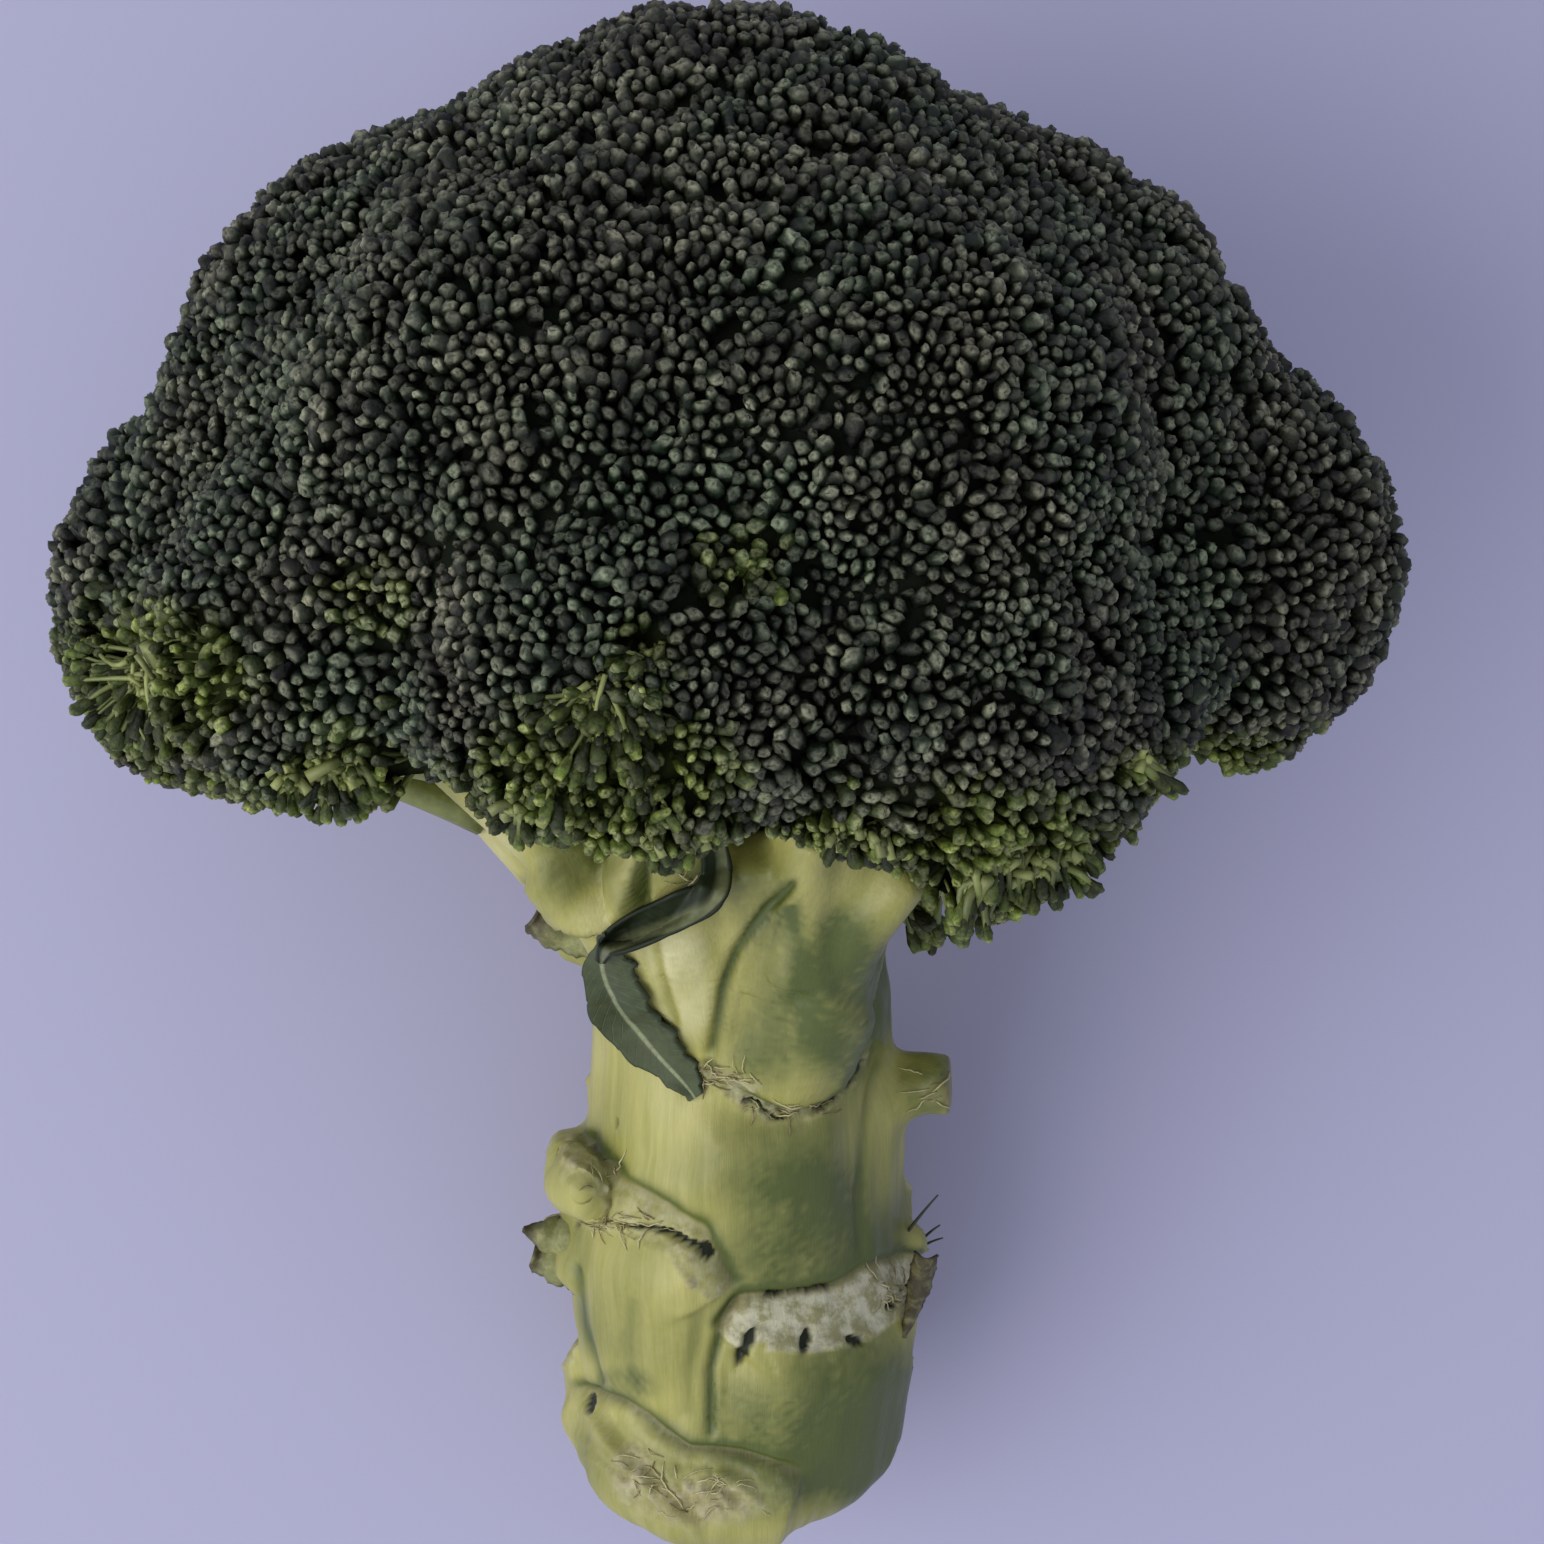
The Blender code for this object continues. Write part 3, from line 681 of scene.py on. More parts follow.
class Shading:
    """Builds a material's nodes, one short call each."""

    def __init__(self, name):
        self.material = bpy.data.materials.new(name)
        self.material.use_nodes = True
        self.tree = self.material.node_tree
        self.shader = self.tree.nodes["Principled BSDF"]

    def put(self, socket, value):
        if hasattr(value, "is_output"):
            self.tree.links.new(value, socket)
        elif isinstance(value, tuple) and len(value) == 3 and socket.type == "RGBA":
            socket.default_value = (*value, 1.0)
        else:
            socket.default_value = value

    def node(self, kind, inputs=(), **settings):
        node = self.tree.nodes.new(kind)
        for key, value in settings.items():
            setattr(node, key, value)
        for key, value in dict(inputs).items():
            self.put(node.inputs[key], value)
        return node

    def values(self, name):
        """The four values that a piece's vertices carry."""
        attribute = self.node("ShaderNodeAttribute", attribute_name=name)
        split = self.node("ShaderNodeSeparateColor", {"Color": attribute.outputs["Color"]})
        return [*(split.outputs[i] for i in range(3)), attribute.outputs["Alpha"]]

    def place(self, scale=(1, 1, 1)):
        source = self.node("ShaderNodeTexCoord").outputs["Object"]
        return self.node("ShaderNodeMapping", {"Vector": source, "Scale": scale}).outputs[0]

    def noise(self, vector, scale, detail=3.0, roughness=0.55):
        inputs = {"Vector": vector, "Scale": scale, "Detail": detail, "Roughness": roughness}
        return self.node("ShaderNodeTexNoise", inputs).outputs[0]

    def maths(self, operation, first, second=0.0):
        inputs = {0: first, 1: second}
        return self.node("ShaderNodeMath", inputs, operation=operation).outputs[0]

    def ramp(self, value, low, high, start=0.0, end=1.0):
        inputs = {"Value": value, "From Min": low, "From Max": high, "To Min": start, "To Max": end}
        return self.node("ShaderNodeMapRange", inputs, interpolation_type="SMOOTHSTEP").outputs[0]

    def mix(self, factor, first, second, blend="MIX"):
        node = self.node("ShaderNodeMix", {0: factor}, data_type="RGBA", blend_type=blend)
        self.put(node.inputs[6], first)
        self.put(node.inputs[7], second)
        return node.outputs[2]

    def bump(self, height, strength, distance, normal=None):
        inputs = {"Height": height, "Strength": strength, "Distance": distance}
        if normal is not None:
            inputs["Normal"] = normal
        return self.node("ShaderNodeBump", inputs).outputs[0]

    def finish(self, **sockets):
        for name, value in sockets.items():
            self.put(self.shader.inputs[name.replace("_", " ")], value)
        return self.material


def bud_material():
    """Waxy grey-green buds with painted shade low down between them and in the dimple of each
    tip, and paler shoulders that are partly waxy bloom and partly painted highlight.
    """
    paint = Shading("broccoli_buds")
    height, tone, tender, _ = paint.values("bud")
    place = paint.place()
    patches = paint.noise(place, 55, 2)
    grain = paint.noise(place, 1500, 3, 0.6)
    # Painted shade: near black low down on each bud, where the buds meet.
    dark = paint.mix(tender, (0.001, 0.002, 0.001), (0.040, 0.054, 0.008))
    body = paint.mix(paint.ramp(patches, 0.35, 0.65), (0.007, 0.014, 0.006), (0.014, 0.016, 0.008))
    body = paint.mix(tender, body, (0.070, 0.096, 0.014))
    # Paler shoulders: partly waxy bloom, partly painted highlight.
    bloom_and_highlight = paint.mix(paint.ramp(patches, 0.35, 0.65), (0.090, 0.106, 0.066), (0.124, 0.120, 0.082))
    bloom_and_highlight = paint.mix(tender, bloom_and_highlight, (0.165, 0.190, 0.050))
    color = paint.mix(paint.ramp(height, 0.25, 0.62), dark, body)
    color = paint.mix(paint.ramp(height, 0.60, 0.88), color, bloom_and_highlight)
    # Painted shade in the dimple of each bud's tip.
    color = paint.mix(paint.ramp(height, 0.93, 1.0, 0.0, 0.5), color, dark)
    color = paint.mix(1.0, color, paint.ramp(tone, 0, 1, 0.35, 1.75), "MULTIPLY")
    color = paint.mix(1.0, color, paint.ramp(grain, 0.3, 0.7, 0.5, 1.5), "MULTIPLY")
    return paint.finish(
        Base_Color=color,
        Roughness=paint.ramp(grain, 0.3, 0.7, 0.40, 0.62),
        Specular_IOR_Level=0.28,
        Normal=paint.bump(grain, 0.7, 0.0003),
    )


def core_material():
    paint = Shading("broccoli_inside_painted_shade")
    tender = paint.values("core")[0]
    place = paint.place()
    grain = paint.noise(place, 600, 4, 0.6)
    # Painted shade: the inside is near black as the shade deep between the buds, less dark where the
    # stems show.
    color = paint.mix(grain, (0.002, 0.003, 0.001), (0.006, 0.009, 0.004))
    color = paint.mix(paint.maths("MULTIPLY", tender, 0.8), color, (0.028, 0.036, 0.007))
    return paint.finish(
        Base_Color=color,
        Roughness=paint.ramp(grain, 0.3, 0.7, 0.7, 0.9),
        Specular_IOR_Level=0.1,
        Normal=paint.bump(grain, 0.8, 0.0006),
    )


def stem_material():
    """The fine stems of the buds: pale yellow-green, darker towards the buds."""
    paint = Shading("broccoli_fine_stems")
    along, tone, _, _ = paint.values("stem")
    place = paint.place()
    grain = paint.noise(place, 700, 3)
    color = paint.mix(along, (0.250, 0.275, 0.085), (0.105, 0.135, 0.030))
    color = paint.mix(1.0, color, paint.ramp(tone, 0, 1, 0.65, 1.25), "MULTIPLY")
    color = paint.mix(1.0, color, paint.ramp(grain, 0.3, 0.7, 0.85, 1.12), "MULTIPLY")
    return paint.finish(
        Base_Color=color,
        Roughness=paint.ramp(grain, 0.3, 0.7, 0.4, 0.55),
        Normal=paint.bump(grain, 0.4, 0.0003),
    )


def stalk_material():
    """Waxy pale green skin with long fibres, whitish leaf scars and brown torn edges, with painted
    shade that darkens it green, painted light that makes it paler and painted shade in its holes.
    """
    paint = Shading("broccoli_stalk")
    face, brown, hole, cut = paint.values("scar")
    across, over, along, shade = paint.values("grain")
    place = paint.place()
    lines = paint.node("ShaderNodeCombineXYZ", {0: across, 1: over, 2: along}).outputs[0]
    fibres = paint.noise(lines, 5000, 3, 0.6)
    streaks = paint.noise(lines, 900, 3, 0.5)
    patches = paint.noise(place, 70, 3, 0.5)
    specks = paint.noise(place, 1400, 2, 0.5)
    color = paint.mix(paint.ramp(streaks, 0.35, 0.68), (0.385, 0.362, 0.108), (0.315, 0.308, 0.076))
    color = paint.mix(paint.ramp(patches, 0.35, 0.7, 0, 0.6), color, (0.420, 0.392, 0.130))
    # Painted shade darkens the skin green; where the shade value is negative, painted light makes it
    # paler.
    color = paint.mix(shade, color, (0.076, 0.098, 0.020))
    color = paint.mix(paint.maths("MULTIPLY", shade, -1.0), color, (0.640, 0.610, 0.330))
    color = paint.mix(1.0, color, paint.ramp(fibres, 0.3, 0.7, 0.95, 1.04), "MULTIPLY")
    torn = paint.noise(place, 420, 4, 0.65)
    scar = paint.mix(paint.ramp(torn, 0.38, 0.62), (0.540, 0.520, 0.390), (0.250, 0.235, 0.125))
    color = paint.mix(face, color, scar)
    end = paint.mix(paint.ramp(specks, 0.4, 0.7), (0.560, 0.590, 0.370), (0.450, 0.490, 0.250))
    color = paint.mix(cut, color, end)
    bark = paint.mix(specks, (0.210, 0.150, 0.070), (0.330, 0.270, 0.150))
    color = paint.mix(brown, color, bark)
    # Painted shade: the holes and gaps are painted near black.
    color = paint.mix(hole, color, (0.018, 0.022, 0.010))
    ragged = paint.maths("MULTIPLY", torn, paint.maths("MAXIMUM", face, brown))
    relief = paint.maths("MULTIPLY", fibres, 0.35)
    relief = paint.maths("ADD", relief, paint.maths("MULTIPLY", specks, 0.3))
    relief = paint.maths("ADD", relief, paint.maths("MULTIPLY", ragged, 1.3))
    rough = paint.maths("ADD", paint.ramp(streaks, 0.3, 0.7, 0.34, 0.48), face)
    return paint.finish(
        Base_Color=color,
        Specular_IOR_Level=0.38,
        Roughness=paint.maths("MINIMUM", rough, 0.8),
        Normal=paint.bump(relief, 0.35, 0.0004),
    )


def leaf_material():
    """Waxy grey-green leaf with dark edges, a pale midrib and fine side veins. Its stem has a
    painted highlight along its lower side and painted shade on its upper side and edges.
    """
    paint = Shading("broccoli_leaf")
    across, along, strap, _ = paint.values("leaf")
    place = paint.place()
    grain = paint.noise(place, 900, 4, 0.6)
    patches = paint.noise(place, 160, 3, 0.5)
    away = paint.maths("ABSOLUTE", paint.maths("SUBTRACT", across, 0.5))
    slanted = paint.maths("MULTIPLY", along, 26)
    slanted = paint.maths("SUBTRACT", slanted, paint.maths("MULTIPLY", away, 5))
    veins = paint.maths("ABSOLUTE", paint.maths("SINE", paint.maths("MULTIPLY", slanted, math.pi)))
    vein = paint.ramp(veins, 0.0, 0.22, 0.55, 0.0)
    color = paint.mix(patches, (0.040, 0.056, 0.024), (0.078, 0.094, 0.046))
    # The leaf's stem: a painted highlight along its lower side, painted shade on its upper side.
    turned = paint.ramp(across, 0.36, 0.66)
    strap_color = paint.mix(turned, (0.130, 0.145, 0.070), (0.016, 0.024, 0.010))
    # Painted shade along the edges of the leaf's stem.
    strap_color = paint.mix(paint.ramp(away, 0.36, 0.46), strap_color, (0.012, 0.018, 0.008))
    color = paint.mix(vein, color, (0.14, 0.165, 0.085))
    color = paint.mix(paint.ramp(away, 0.02, 0.07, 0.9, 0.0), color, (0.240, 0.265, 0.150))
    color = paint.mix(paint.ramp(away, 0.44, 0.5, 0.0, 0.8), color, (0.030, 0.042, 0.024))
    color = paint.mix(strap, color, strap_color)
    color = paint.mix(1.0, color, paint.ramp(grain, 0.3, 0.7, 0.85, 1.15), "MULTIPLY")
    blade_vein = paint.maths("MULTIPLY", vein, paint.maths("SUBTRACT", 1.0, strap))
    relief = paint.maths("SUBTRACT", paint.maths("MULTIPLY", grain, 0.5), blade_vein)
    return paint.finish(
        Base_Color=color,
        Roughness=paint.ramp(grain, 0.3, 0.7, 0.42, 0.60),
        Specular_IOR_Level=0.22,
        Normal=paint.bump(relief, 0.5, 0.0003),
    )


def floor_material():
    paint = Shading("plain_floor")
    grain = paint.noise(paint.place(), 900, 3)
    return paint.finish(
        Base_Color=FLOOR_COLOR,
        Roughness=0.75,
        Normal=paint.bump(grain, 0.04, 0.0002),
    )


# Crown


class Skin:
    """A surface to set pieces on: its points, normals and triangles, and a tree to search it."""

    def __init__(self, mesh):
        self.points = points_of(mesh)
        self.normals = normals_of(mesh)
        self.triangles = triangles_of(mesh)
        self.tree = BVHTree.FromPolygons(self.points.tolist(), self.triangles.tolist())

    def random_points(self, count, dice):
        corners = self.points[self.triangles]
        areas = np.linalg.norm(
            np.cross(corners[:, 1] - corners[:, 0], corners[:, 2] - corners[:, 0]), axis=1
        )
        chosen = dice.choice(len(areas), count, p=areas / areas.sum())
        a, b = dice.uniform(size=(2, count, 1))
        flip = a + b > 1
        a, b = np.where(flip, 1 - a, a), np.where(flip, 1 - b, b)
        c = corners[chosen]
        return c[:, 0] + (c[:, 1] - c[:, 0]) * a + (c[:, 2] - c[:, 0]) * b


def faces_out(points, normals):
    """True where the crown's surface is its domed outside, and not the hollow underneath."""
    place = to_stem(points)
    normal = turned_to_stem(normals)
    flat = place * (1, 1, 0)
    outwards = (normal * unit(flat)).sum(axis=1) > 0.02
    high = (place[:, 2] > -2 * MM) & (np.linalg.norm(flat, axis=1) > 34 * MM)
    return outwards | (normal[:, 2] > -0.2) | high


def thinned_out(points, spacings):
    """Which points stay when each clears its own spacing round itself, in their order."""
    tree = tree_of(points)
    free = np.ones(len(points), bool)
    kept = []
    for i, point in enumerate(points):
        if free[i]:
            kept.append(i)
            for _, j, _ in tree.find_range(point, spacings[i]):
                free[j] = False
    return np.array(kept)


def neighbours_of(points, count):
    """Indices of and distances to the nearest other points."""
    tree = tree_of(points)
    found = [tree.find_n(point, count + 1)[1:] for point in points]
    index = np.array([[j for _, j, _ in row] for row in found])
    distance = np.array([[d for _, _, d in row] for row in found])
    return index, distance


def spread_out(points, skin, spacing, rounds):
    """Pushes near neighbours apart along the skin until they are evenly set."""
    for _ in range(rounds):
        index, distance = neighbours_of(points, 6)
        away = points[:, None, :] - points[index]
        push = np.maximum(0, spacing * 1.12 - distance)[:, :, None]
        points = points + (unit(away) * push).sum(axis=1) * 0.32
        points, normals = nearest_places(skin.tree, points)
    return points, normals


def tenderness(points, normals, rim):
    """How young and pale the crown is at each point: near its rim and in the tender spots."""
    most = in_spots(points, normals, TENDER_SPOTS)
    ragged = waves(points, 9 * MM, 3) * 0.22 + waves(points, 3 * MM, 4) * 0.14
    rim_share = 1 - eased(0.15, 1.0, rim / RIM_WIDTH - ragged)
    return np.clip(np.maximum(most + ragged * 0.5 * (most > 0.05), rim_share * 0.85), 0, 1)


def bud_template():
    """Points and triangles of one bud along +Z, and each point's share of its height."""
    points = []
    for height, radius in BUD_PROFILE:
        for s in range(BUD_SIDES):
            angle = math.tau * s / BUD_SIDES
            lobed = radius * (1 + 0.07 * math.cos(4 * angle) * max(0.0, height))
            points.append((lobed * math.cos(angle), lobed * math.sin(angle), height))
    points += [(0, 0, BUD_PROFILE[0][0]), (0, 0, BUD_TIP)]
    steps = len(BUD_PROFILE)
    shares = [(i + 0.5) / steps for i in range(steps) for _ in range(BUD_SIDES)]
    return np.array(points), tube_faces(steps, BUD_SIDES), np.array([*shares, 0.0, 1.0])


def frames_along(axes, dice):
    """For each direction, a turned set of axes whose third one is that direction."""
    side = unit(np.cross(axes, dice.normal(size=axes.shape)))
    return np.stack([side, np.cross(axes, side), axes], axis=1)


class Crown:
    """Where the buds and florets of the crown sit."""

    def __init__(self, dice):
        self.skin = Skin(remeshed("crown", 1.5 * MM, 26))
        outside = faces_out(self.skin.points, self.skin.normals)
        self.under = tree_of(self.skin.points[~outside])
        self.set_florets(dice)
        self.set_buds(dice)
        self.sprig_stems = []
        for sprig in RIM_SPRIGS:
            self.add_sprig(sprig, RIM_DEPTH, 0.70, dice)
        for sprig in OPEN_SPRIGS:
            self.add_sprig(sprig, OPEN_DEPTH, 0.42, dice)

    def rim_distance(self, points):
        return np.array([self.under.find(point)[2] for point in points])

    def outside_points(self, count, dice):
        points = self.skin.random_points(count, dice)
        _, normals = nearest_places(self.skin.tree, points)
        return points[faces_out(points, normals)]

    def set_florets(self, dice):
        """Centres and root points of the florets, which are small domes of buds."""
        points = self.outside_points(9000, dice)
        points = points[thinned_out(points, np.full(len(points), FLORET_SPACING))]
        self.floret_centres, normals = nearest_places(self.skin.tree, points)
        inward = unit(from_stem(np.array([[0, 0, -0.010]])) - self.floret_centres)
        self.floret_roots = self.floret_centres + (inward * 0.7 - normals * 0.5) * FLORET_ROOT
        self.floret_tree = tree_of(self.floret_centres)

    def set_buds(self, dice):
        points = self.outside_points(BUD_CANDIDATES, dice)
        spacings = BUD_SPACING * (1 + 0.14 * waves(points, 14 * MM, 1)) * 0.86
        points = points[thinned_out(points, spacings)]
        points, normals = spread_out(points, self.skin, BUD_SPACING, 4)
        found = [self.floret_tree.find_n(point, 2) for point in points]
        near = np.array([[d for _, _, d in row] for row in found])
        self.floret = np.array([row[0][1] for row in found])
        self.rim = self.rim_distance(points)
        self.tender = tenderness(points, normals, self.rim)
        bare = in_spots(points, normals, BARE_SPOTS)
        keep = dice.uniform(size=len(points)) > np.maximum(0.03 + 0.22 * self.tender, bare * 1.05)
        groove = np.exp(-(((near[:, 1] - near[:, 0]) / (1.3 * MM)) ** 2))
        dome = 1 - (near[:, 0] / (0.6 * FLORET_SPACING)) ** 2
        lift = FLORET_DOME * dome - FLORET_GROOVE * groove
        lift += dice.normal(size=len(points)) * 0.26 * MM
        roots = self.floret_roots[self.floret]
        axes = unit(
            normals * 0.42 + unit(points - roots) * 0.78 + dice.normal(size=points.shape) * 0.32
        )
        _, distance = neighbours_of(points, 5)
        radii = np.clip(distance.mean(axis=1) * BUD_FILL, 0.50 * MM, 1.0 * MM)
        radii *= (1 - 0.22 * self.tender) * dice.uniform(0.72, 1.16, len(points))
        self.points = (points + normals * lift[:, None])[keep]
        self.axes = axes[keep]
        self.roots = roots[keep]
        self.tender = self.tender[keep]
        self.groove = groove[keep]
        self.radii = radii[keep]
        self.stems = dice.uniform(0.32, 0.55, len(self.radii))

    def add_sprig(self, sprig, depth, stem_share, dice):
        """Adds the buds of a small floret whose stems show."""
        across, down, tip_across, tip_down, fan, count = sprig
        place, _ = under_pixel(self.skin.tree, across, down)
        height = place.z - depth if place else CROWN_CENTRE[2] + 8 * MM
        root = at_pixel(across, down, height)
        place, _ = under_pixel(self.skin.tree, tip_across, tip_down)
        tip_height = place.z + 0.3 * MM if place else height - 2 * MM
        tip = at_pixel(tip_across, tip_down, max(tip_height, height - SPRIG_DROP))
        length = np.linalg.norm(tip - root)
        spread = dice.normal(size=(count, 3)) * fan * 0.6
        axes = unit(unit(tip - root) + spread)
        reach = length * dice.uniform(0.38, 1.0, (count, 1))
        points = root + axes * reach
        foot = root - (tip - root) * 0.5 - (0, 0, 2 * MM)
        self.sprig_stems.append((foot, root + (tip - root) * 0.45))
        points[:, 2] = np.maximum(points[:, 2], 1 * MM)
        self.points = np.concatenate([self.points, points])
        self.axes = np.concatenate([self.axes, axes])
        self.roots = np.concatenate([self.roots, np.tile(root, (count, 1))])
        self.tender = np.concatenate([self.tender, dice.uniform(0.30, 0.95, count)])
        self.groove = np.concatenate([self.groove, np.zeros(count)])
        self.radii = np.concatenate([self.radii, dice.uniform(0.50, 0.78, count) * MM])
        self.stems = np.concatenate([self.stems, stem_share * dice.uniform(0.8, 1.2, count)])


def add_buds(crown, material, dice):
    """All the buds, in one piece for each sector of the crown."""
    template, faces, shares = bud_template()
    count = len(crown.points)
    frames = frames_along(crown.axes, dice)
    widths = crown.radii[:, None] * np.stack(
        [
            dice.uniform(0.92, 1.42, count),
            dice.uniform(0.74, 1.02, count),
            dice.uniform(1.25, 2.05, count),
        ],
        axis=1,
    )
    local = template[None, :, :] * widths[:, None, :]
    local += dice.normal(size=local.shape) * 0.095 * crown.radii[:, None, None]
    local[:, :, 2] -= 0.45 * widths[:, 2:3]
    points = crown.points[:, None, :] + np.einsum("nvk,nkj->nvj", local, frames)
    points[:, :, 2] = np.maximum(points[:, :, 2], 0.02 * MM)
    lighter = waves(crown.points, 22 * MM, 5) * 0.10
    # Each bud's tone varies at random, with painted shade on the buds in the grooves between florets.
    tones = np.clip(0.46 + lighter + 0.24 * dice.normal(size=count) - 0.4 * crown.groove, 0, 1)
    values = np.ones((count, len(template), 4))
    values[:, :, 0] = shares
    values[:, :, 1] = tones[:, None]
    varied = crown.tender + 0.12 * dice.normal(size=count) * (crown.tender > 0)
    values[:, :, 2] = np.clip(varied, 0, 1)[:, None]
    order = np.argsort(azimuths_of(to_stem(crown.points)))
    for i, chosen in enumerate(np.array_split(order, BUD_PIECES)):
        mesh = mesh_of(
            f"buds_{i}", points[chosen].reshape(-1, 3), repeated(faces, len(chosen), len(template))
        )
        add_values(mesh, "bud", values[chosen].reshape(-1, 4))
        add_piece(f"buds_{i}", mesh, material, "crown")


def add_core(crown, material):
    """The inside of the crown, painted near black as the shade between the buds, which lies deeper
    where the stems show.
    """
    skin = crown.skin
    outside = faces_out(skin.points, skin.normals)
    rim = crown.rim_distance(skin.points)
    tender = tenderness(skin.points, skin.normals, rim) * outside
    bare = in_spots(skin.points, skin.normals, BARE_SPOTS)
    depth = 1.35 * MM + 1.2 * MM * eased(0.15, 0.7, tender) + 5 * MM * bare
    stem_values = np.ones((len(depth), 4))
    stem_values[:, 0] = tender
    for i in range(len(depth)):
        start = Vector(skin.points[i] - skin.normals[i] * 0.2 * MM)
        hit = skin.tree.ray_cast(start, Vector(-skin.normals[i]), 0.03)[3]
        if hit is not None:
            depth[i] = min(depth[i], 0.38 * hit)
    points = skin.points - skin.normals * depth[:, None]
    points[:, 2] = np.maximum(points[:, 2], 0.3 * MM)
    mesh = mesh_of("crown_core", points, skin.triangles)
    add_values(mesh, "core", stem_values)
    add_piece("crown_core", mesh, material, "crown")


def add_bud_stems(crown, material, dice):
    """The stems of the buds that stand apart, down to where those of one floret meet."""
    chosen = np.flatnonzero(crown.tender > 0.22)
    top = crown.points[chosen] - crown.axes[chosen] * 0.9 * MM
    root = crown.roots[chosen]
    root = root + dice.normal(size=root.shape) * 1.1 * MM
    bend = top - crown.axes[chosen] * 4 * MM + dice.normal(size=root.shape) * 0.9 * MM
    thick = (crown.radii * crown.stems)[chosen, None]
    radii = thick * np.linspace(0.85, 1.25, STEM_RINGS)[None, :]
    paths = above_floor(curve(top, bend, root, STEM_RINGS), radii)
    tones = dice.uniform(0.1, 0.9, len(chosen))
    along = np.concatenate([np.repeat(np.linspace(1, 0, STEM_RINGS), STEM_SIDES), (1, 0)])
    for i, part in enumerate(np.array_split(np.arange(len(chosen)), STEM_PIECES)):
        name = f"bud_stems_{i}"
        add_tubes(name, paths[part], radii[part], STEM_SIDES, "stem", along, tones[part], material)


def add_floret_stems(crown, stalk, material, dice):
    """The stems that carry the florets, from the branches out to the florets' roots."""
    rims = crown.rim_distance(crown.floret_centres)
    chosen = np.flatnonzero(rims < 26 * MM)
    roots = crown.floret_roots[chosen]
    inner = to_stem(roots) * (0.55, 0.55, 1.0) - (0, 0, 0.010)
    starts, normals = nearest_places(stalk.tree, from_stem(inner))
    starts = starts - normals * 1.2 * MM
    count = 9
    bend = starts * 0.35 + roots * 0.65 + normals * 1.5 * MM
    tips = roots + (crown.floret_centres[chosen] - roots) * 0.45
    thick = dice.uniform(1.5, 2.3, (len(chosen), 1)) * MM
    feet, heads = np.array(crown.sprig_stems).transpose(1, 0, 2)
    straight = curve(feet, (feet + heads) / 2, heads, count)
    thin = np.tile(np.linspace(1.3, 0.5, count), (len(feet), 1)) * SPRIG_STEM
    radii = np.concatenate([thick * np.linspace(1.25, 0.62, count)[None, :], thin])
    paths = above_floor(np.concatenate([curve(starts, bend, tips, count), straight]), radii)
    tones = dice.uniform(0.3, 0.9, len(paths))
    add_tubes("floret_stems", paths, radii, 10, "stem", 0.25, tones, material)


def underside_points(crown, dice):
    """Evenly set places and normals in the hollow under the crown, away from its buds."""
    points = crown.skin.random_points(60000, dice)
    _, normals = nearest_places(crown.skin.tree, points)
    points = points[~faces_out(points, normals)]
    outside = tree_of(crown.points)
    points = points[[outside.find(point)[2] > 5.5 * MM for point in points]]
    points = points[thinned_out(points, np.full(len(points), 2.3 * MM))]
    return nearest_places(crown.skin.tree, points)


def add_underside(crown, material, dice):
    """Fine stems that cover the hollow under the crown and fan out from the stalk to its rim."""
    points, normals = underside_points(crown, dice)
    out = turned_to_stem(points - CROWN_CENTRE) * (1, 1, 0)
    out = unit(out) @ STEM_AXES
    flow = unit(out - normals * (out * normals).sum(axis=1)[:, None])
    flow = unit(flow + dice.normal(size=flow.shape) * 0.22)
    length = dice.uniform(5, 9, (len(points), 1)) * MM
    count = 7
    steps = np.linspace(-0.5, 0.5, count)[None, :, None]
    hump = (1 - (2 * steps) ** 2) * dice.uniform(0.3, 1.2, (len(points), 1, 1)) * MM - 0.7 * MM
    paths = points[:, None] + flow[:, None] * length[:, None] * steps + normals[:, None] * hump
    thick = dice.uniform(0.6, 1.25, (len(points), 1)) * MM
    radii = thick * np.linspace(1.0, 0.7, count)[None, :]
    tones = dice.uniform(0.0, 0.8, len(points))
    add_tubes("underside_stems", above_floor(paths, radii), radii, 7, "stem", 0.35, tones, material)


# Stalk


def hidden_scar_places(stem_points, scar):
    """How far below a scar's upper line each point is, and its place across the scar."""
    degrees, top, half_width, _ = scar
    shifted = stem_points - (STALK_OFFSET, 0, 0)
    radius = np.hypot(shifted[:, 0], shifted[:, 1])
    turn = (azimuths_of(shifted) - math.radians(degrees) + math.pi) % math.tau - math.pi
    across = turn * radius / half_width
    below = top + SCAR_SAG * half_width * (across**2 - 0.5) - stem_points[:, 2]
    return below, across


def scars_at(points, normals):
    """For each scar: how far below its edge each point is, its place across the scar, whether
    it is on the scar's side of the stalk, height of the face, relief, how torn and pale it is."""
    stem = to_stem(points)
    pixels = pixels_of(points)
    seen = eased(-0.15, 0.1, normals[:, 2])
    for line, face, relief, torn, pale in SEEN_SCARS:
        below, across = beside_line(pixels, line)
        if line[0][0] > line[-1][0]:
            below = -below
        yield below, across, seen, face, relief, torn, pale
    for scar in HIDDEN_SCARS:
        below, across = hidden_scar_places(stem, scar)
        near = (np.abs(across) < 1.3).astype(float)
        yield below, across, near, scar[3], 0.9 * MM, 0.45, 0.42


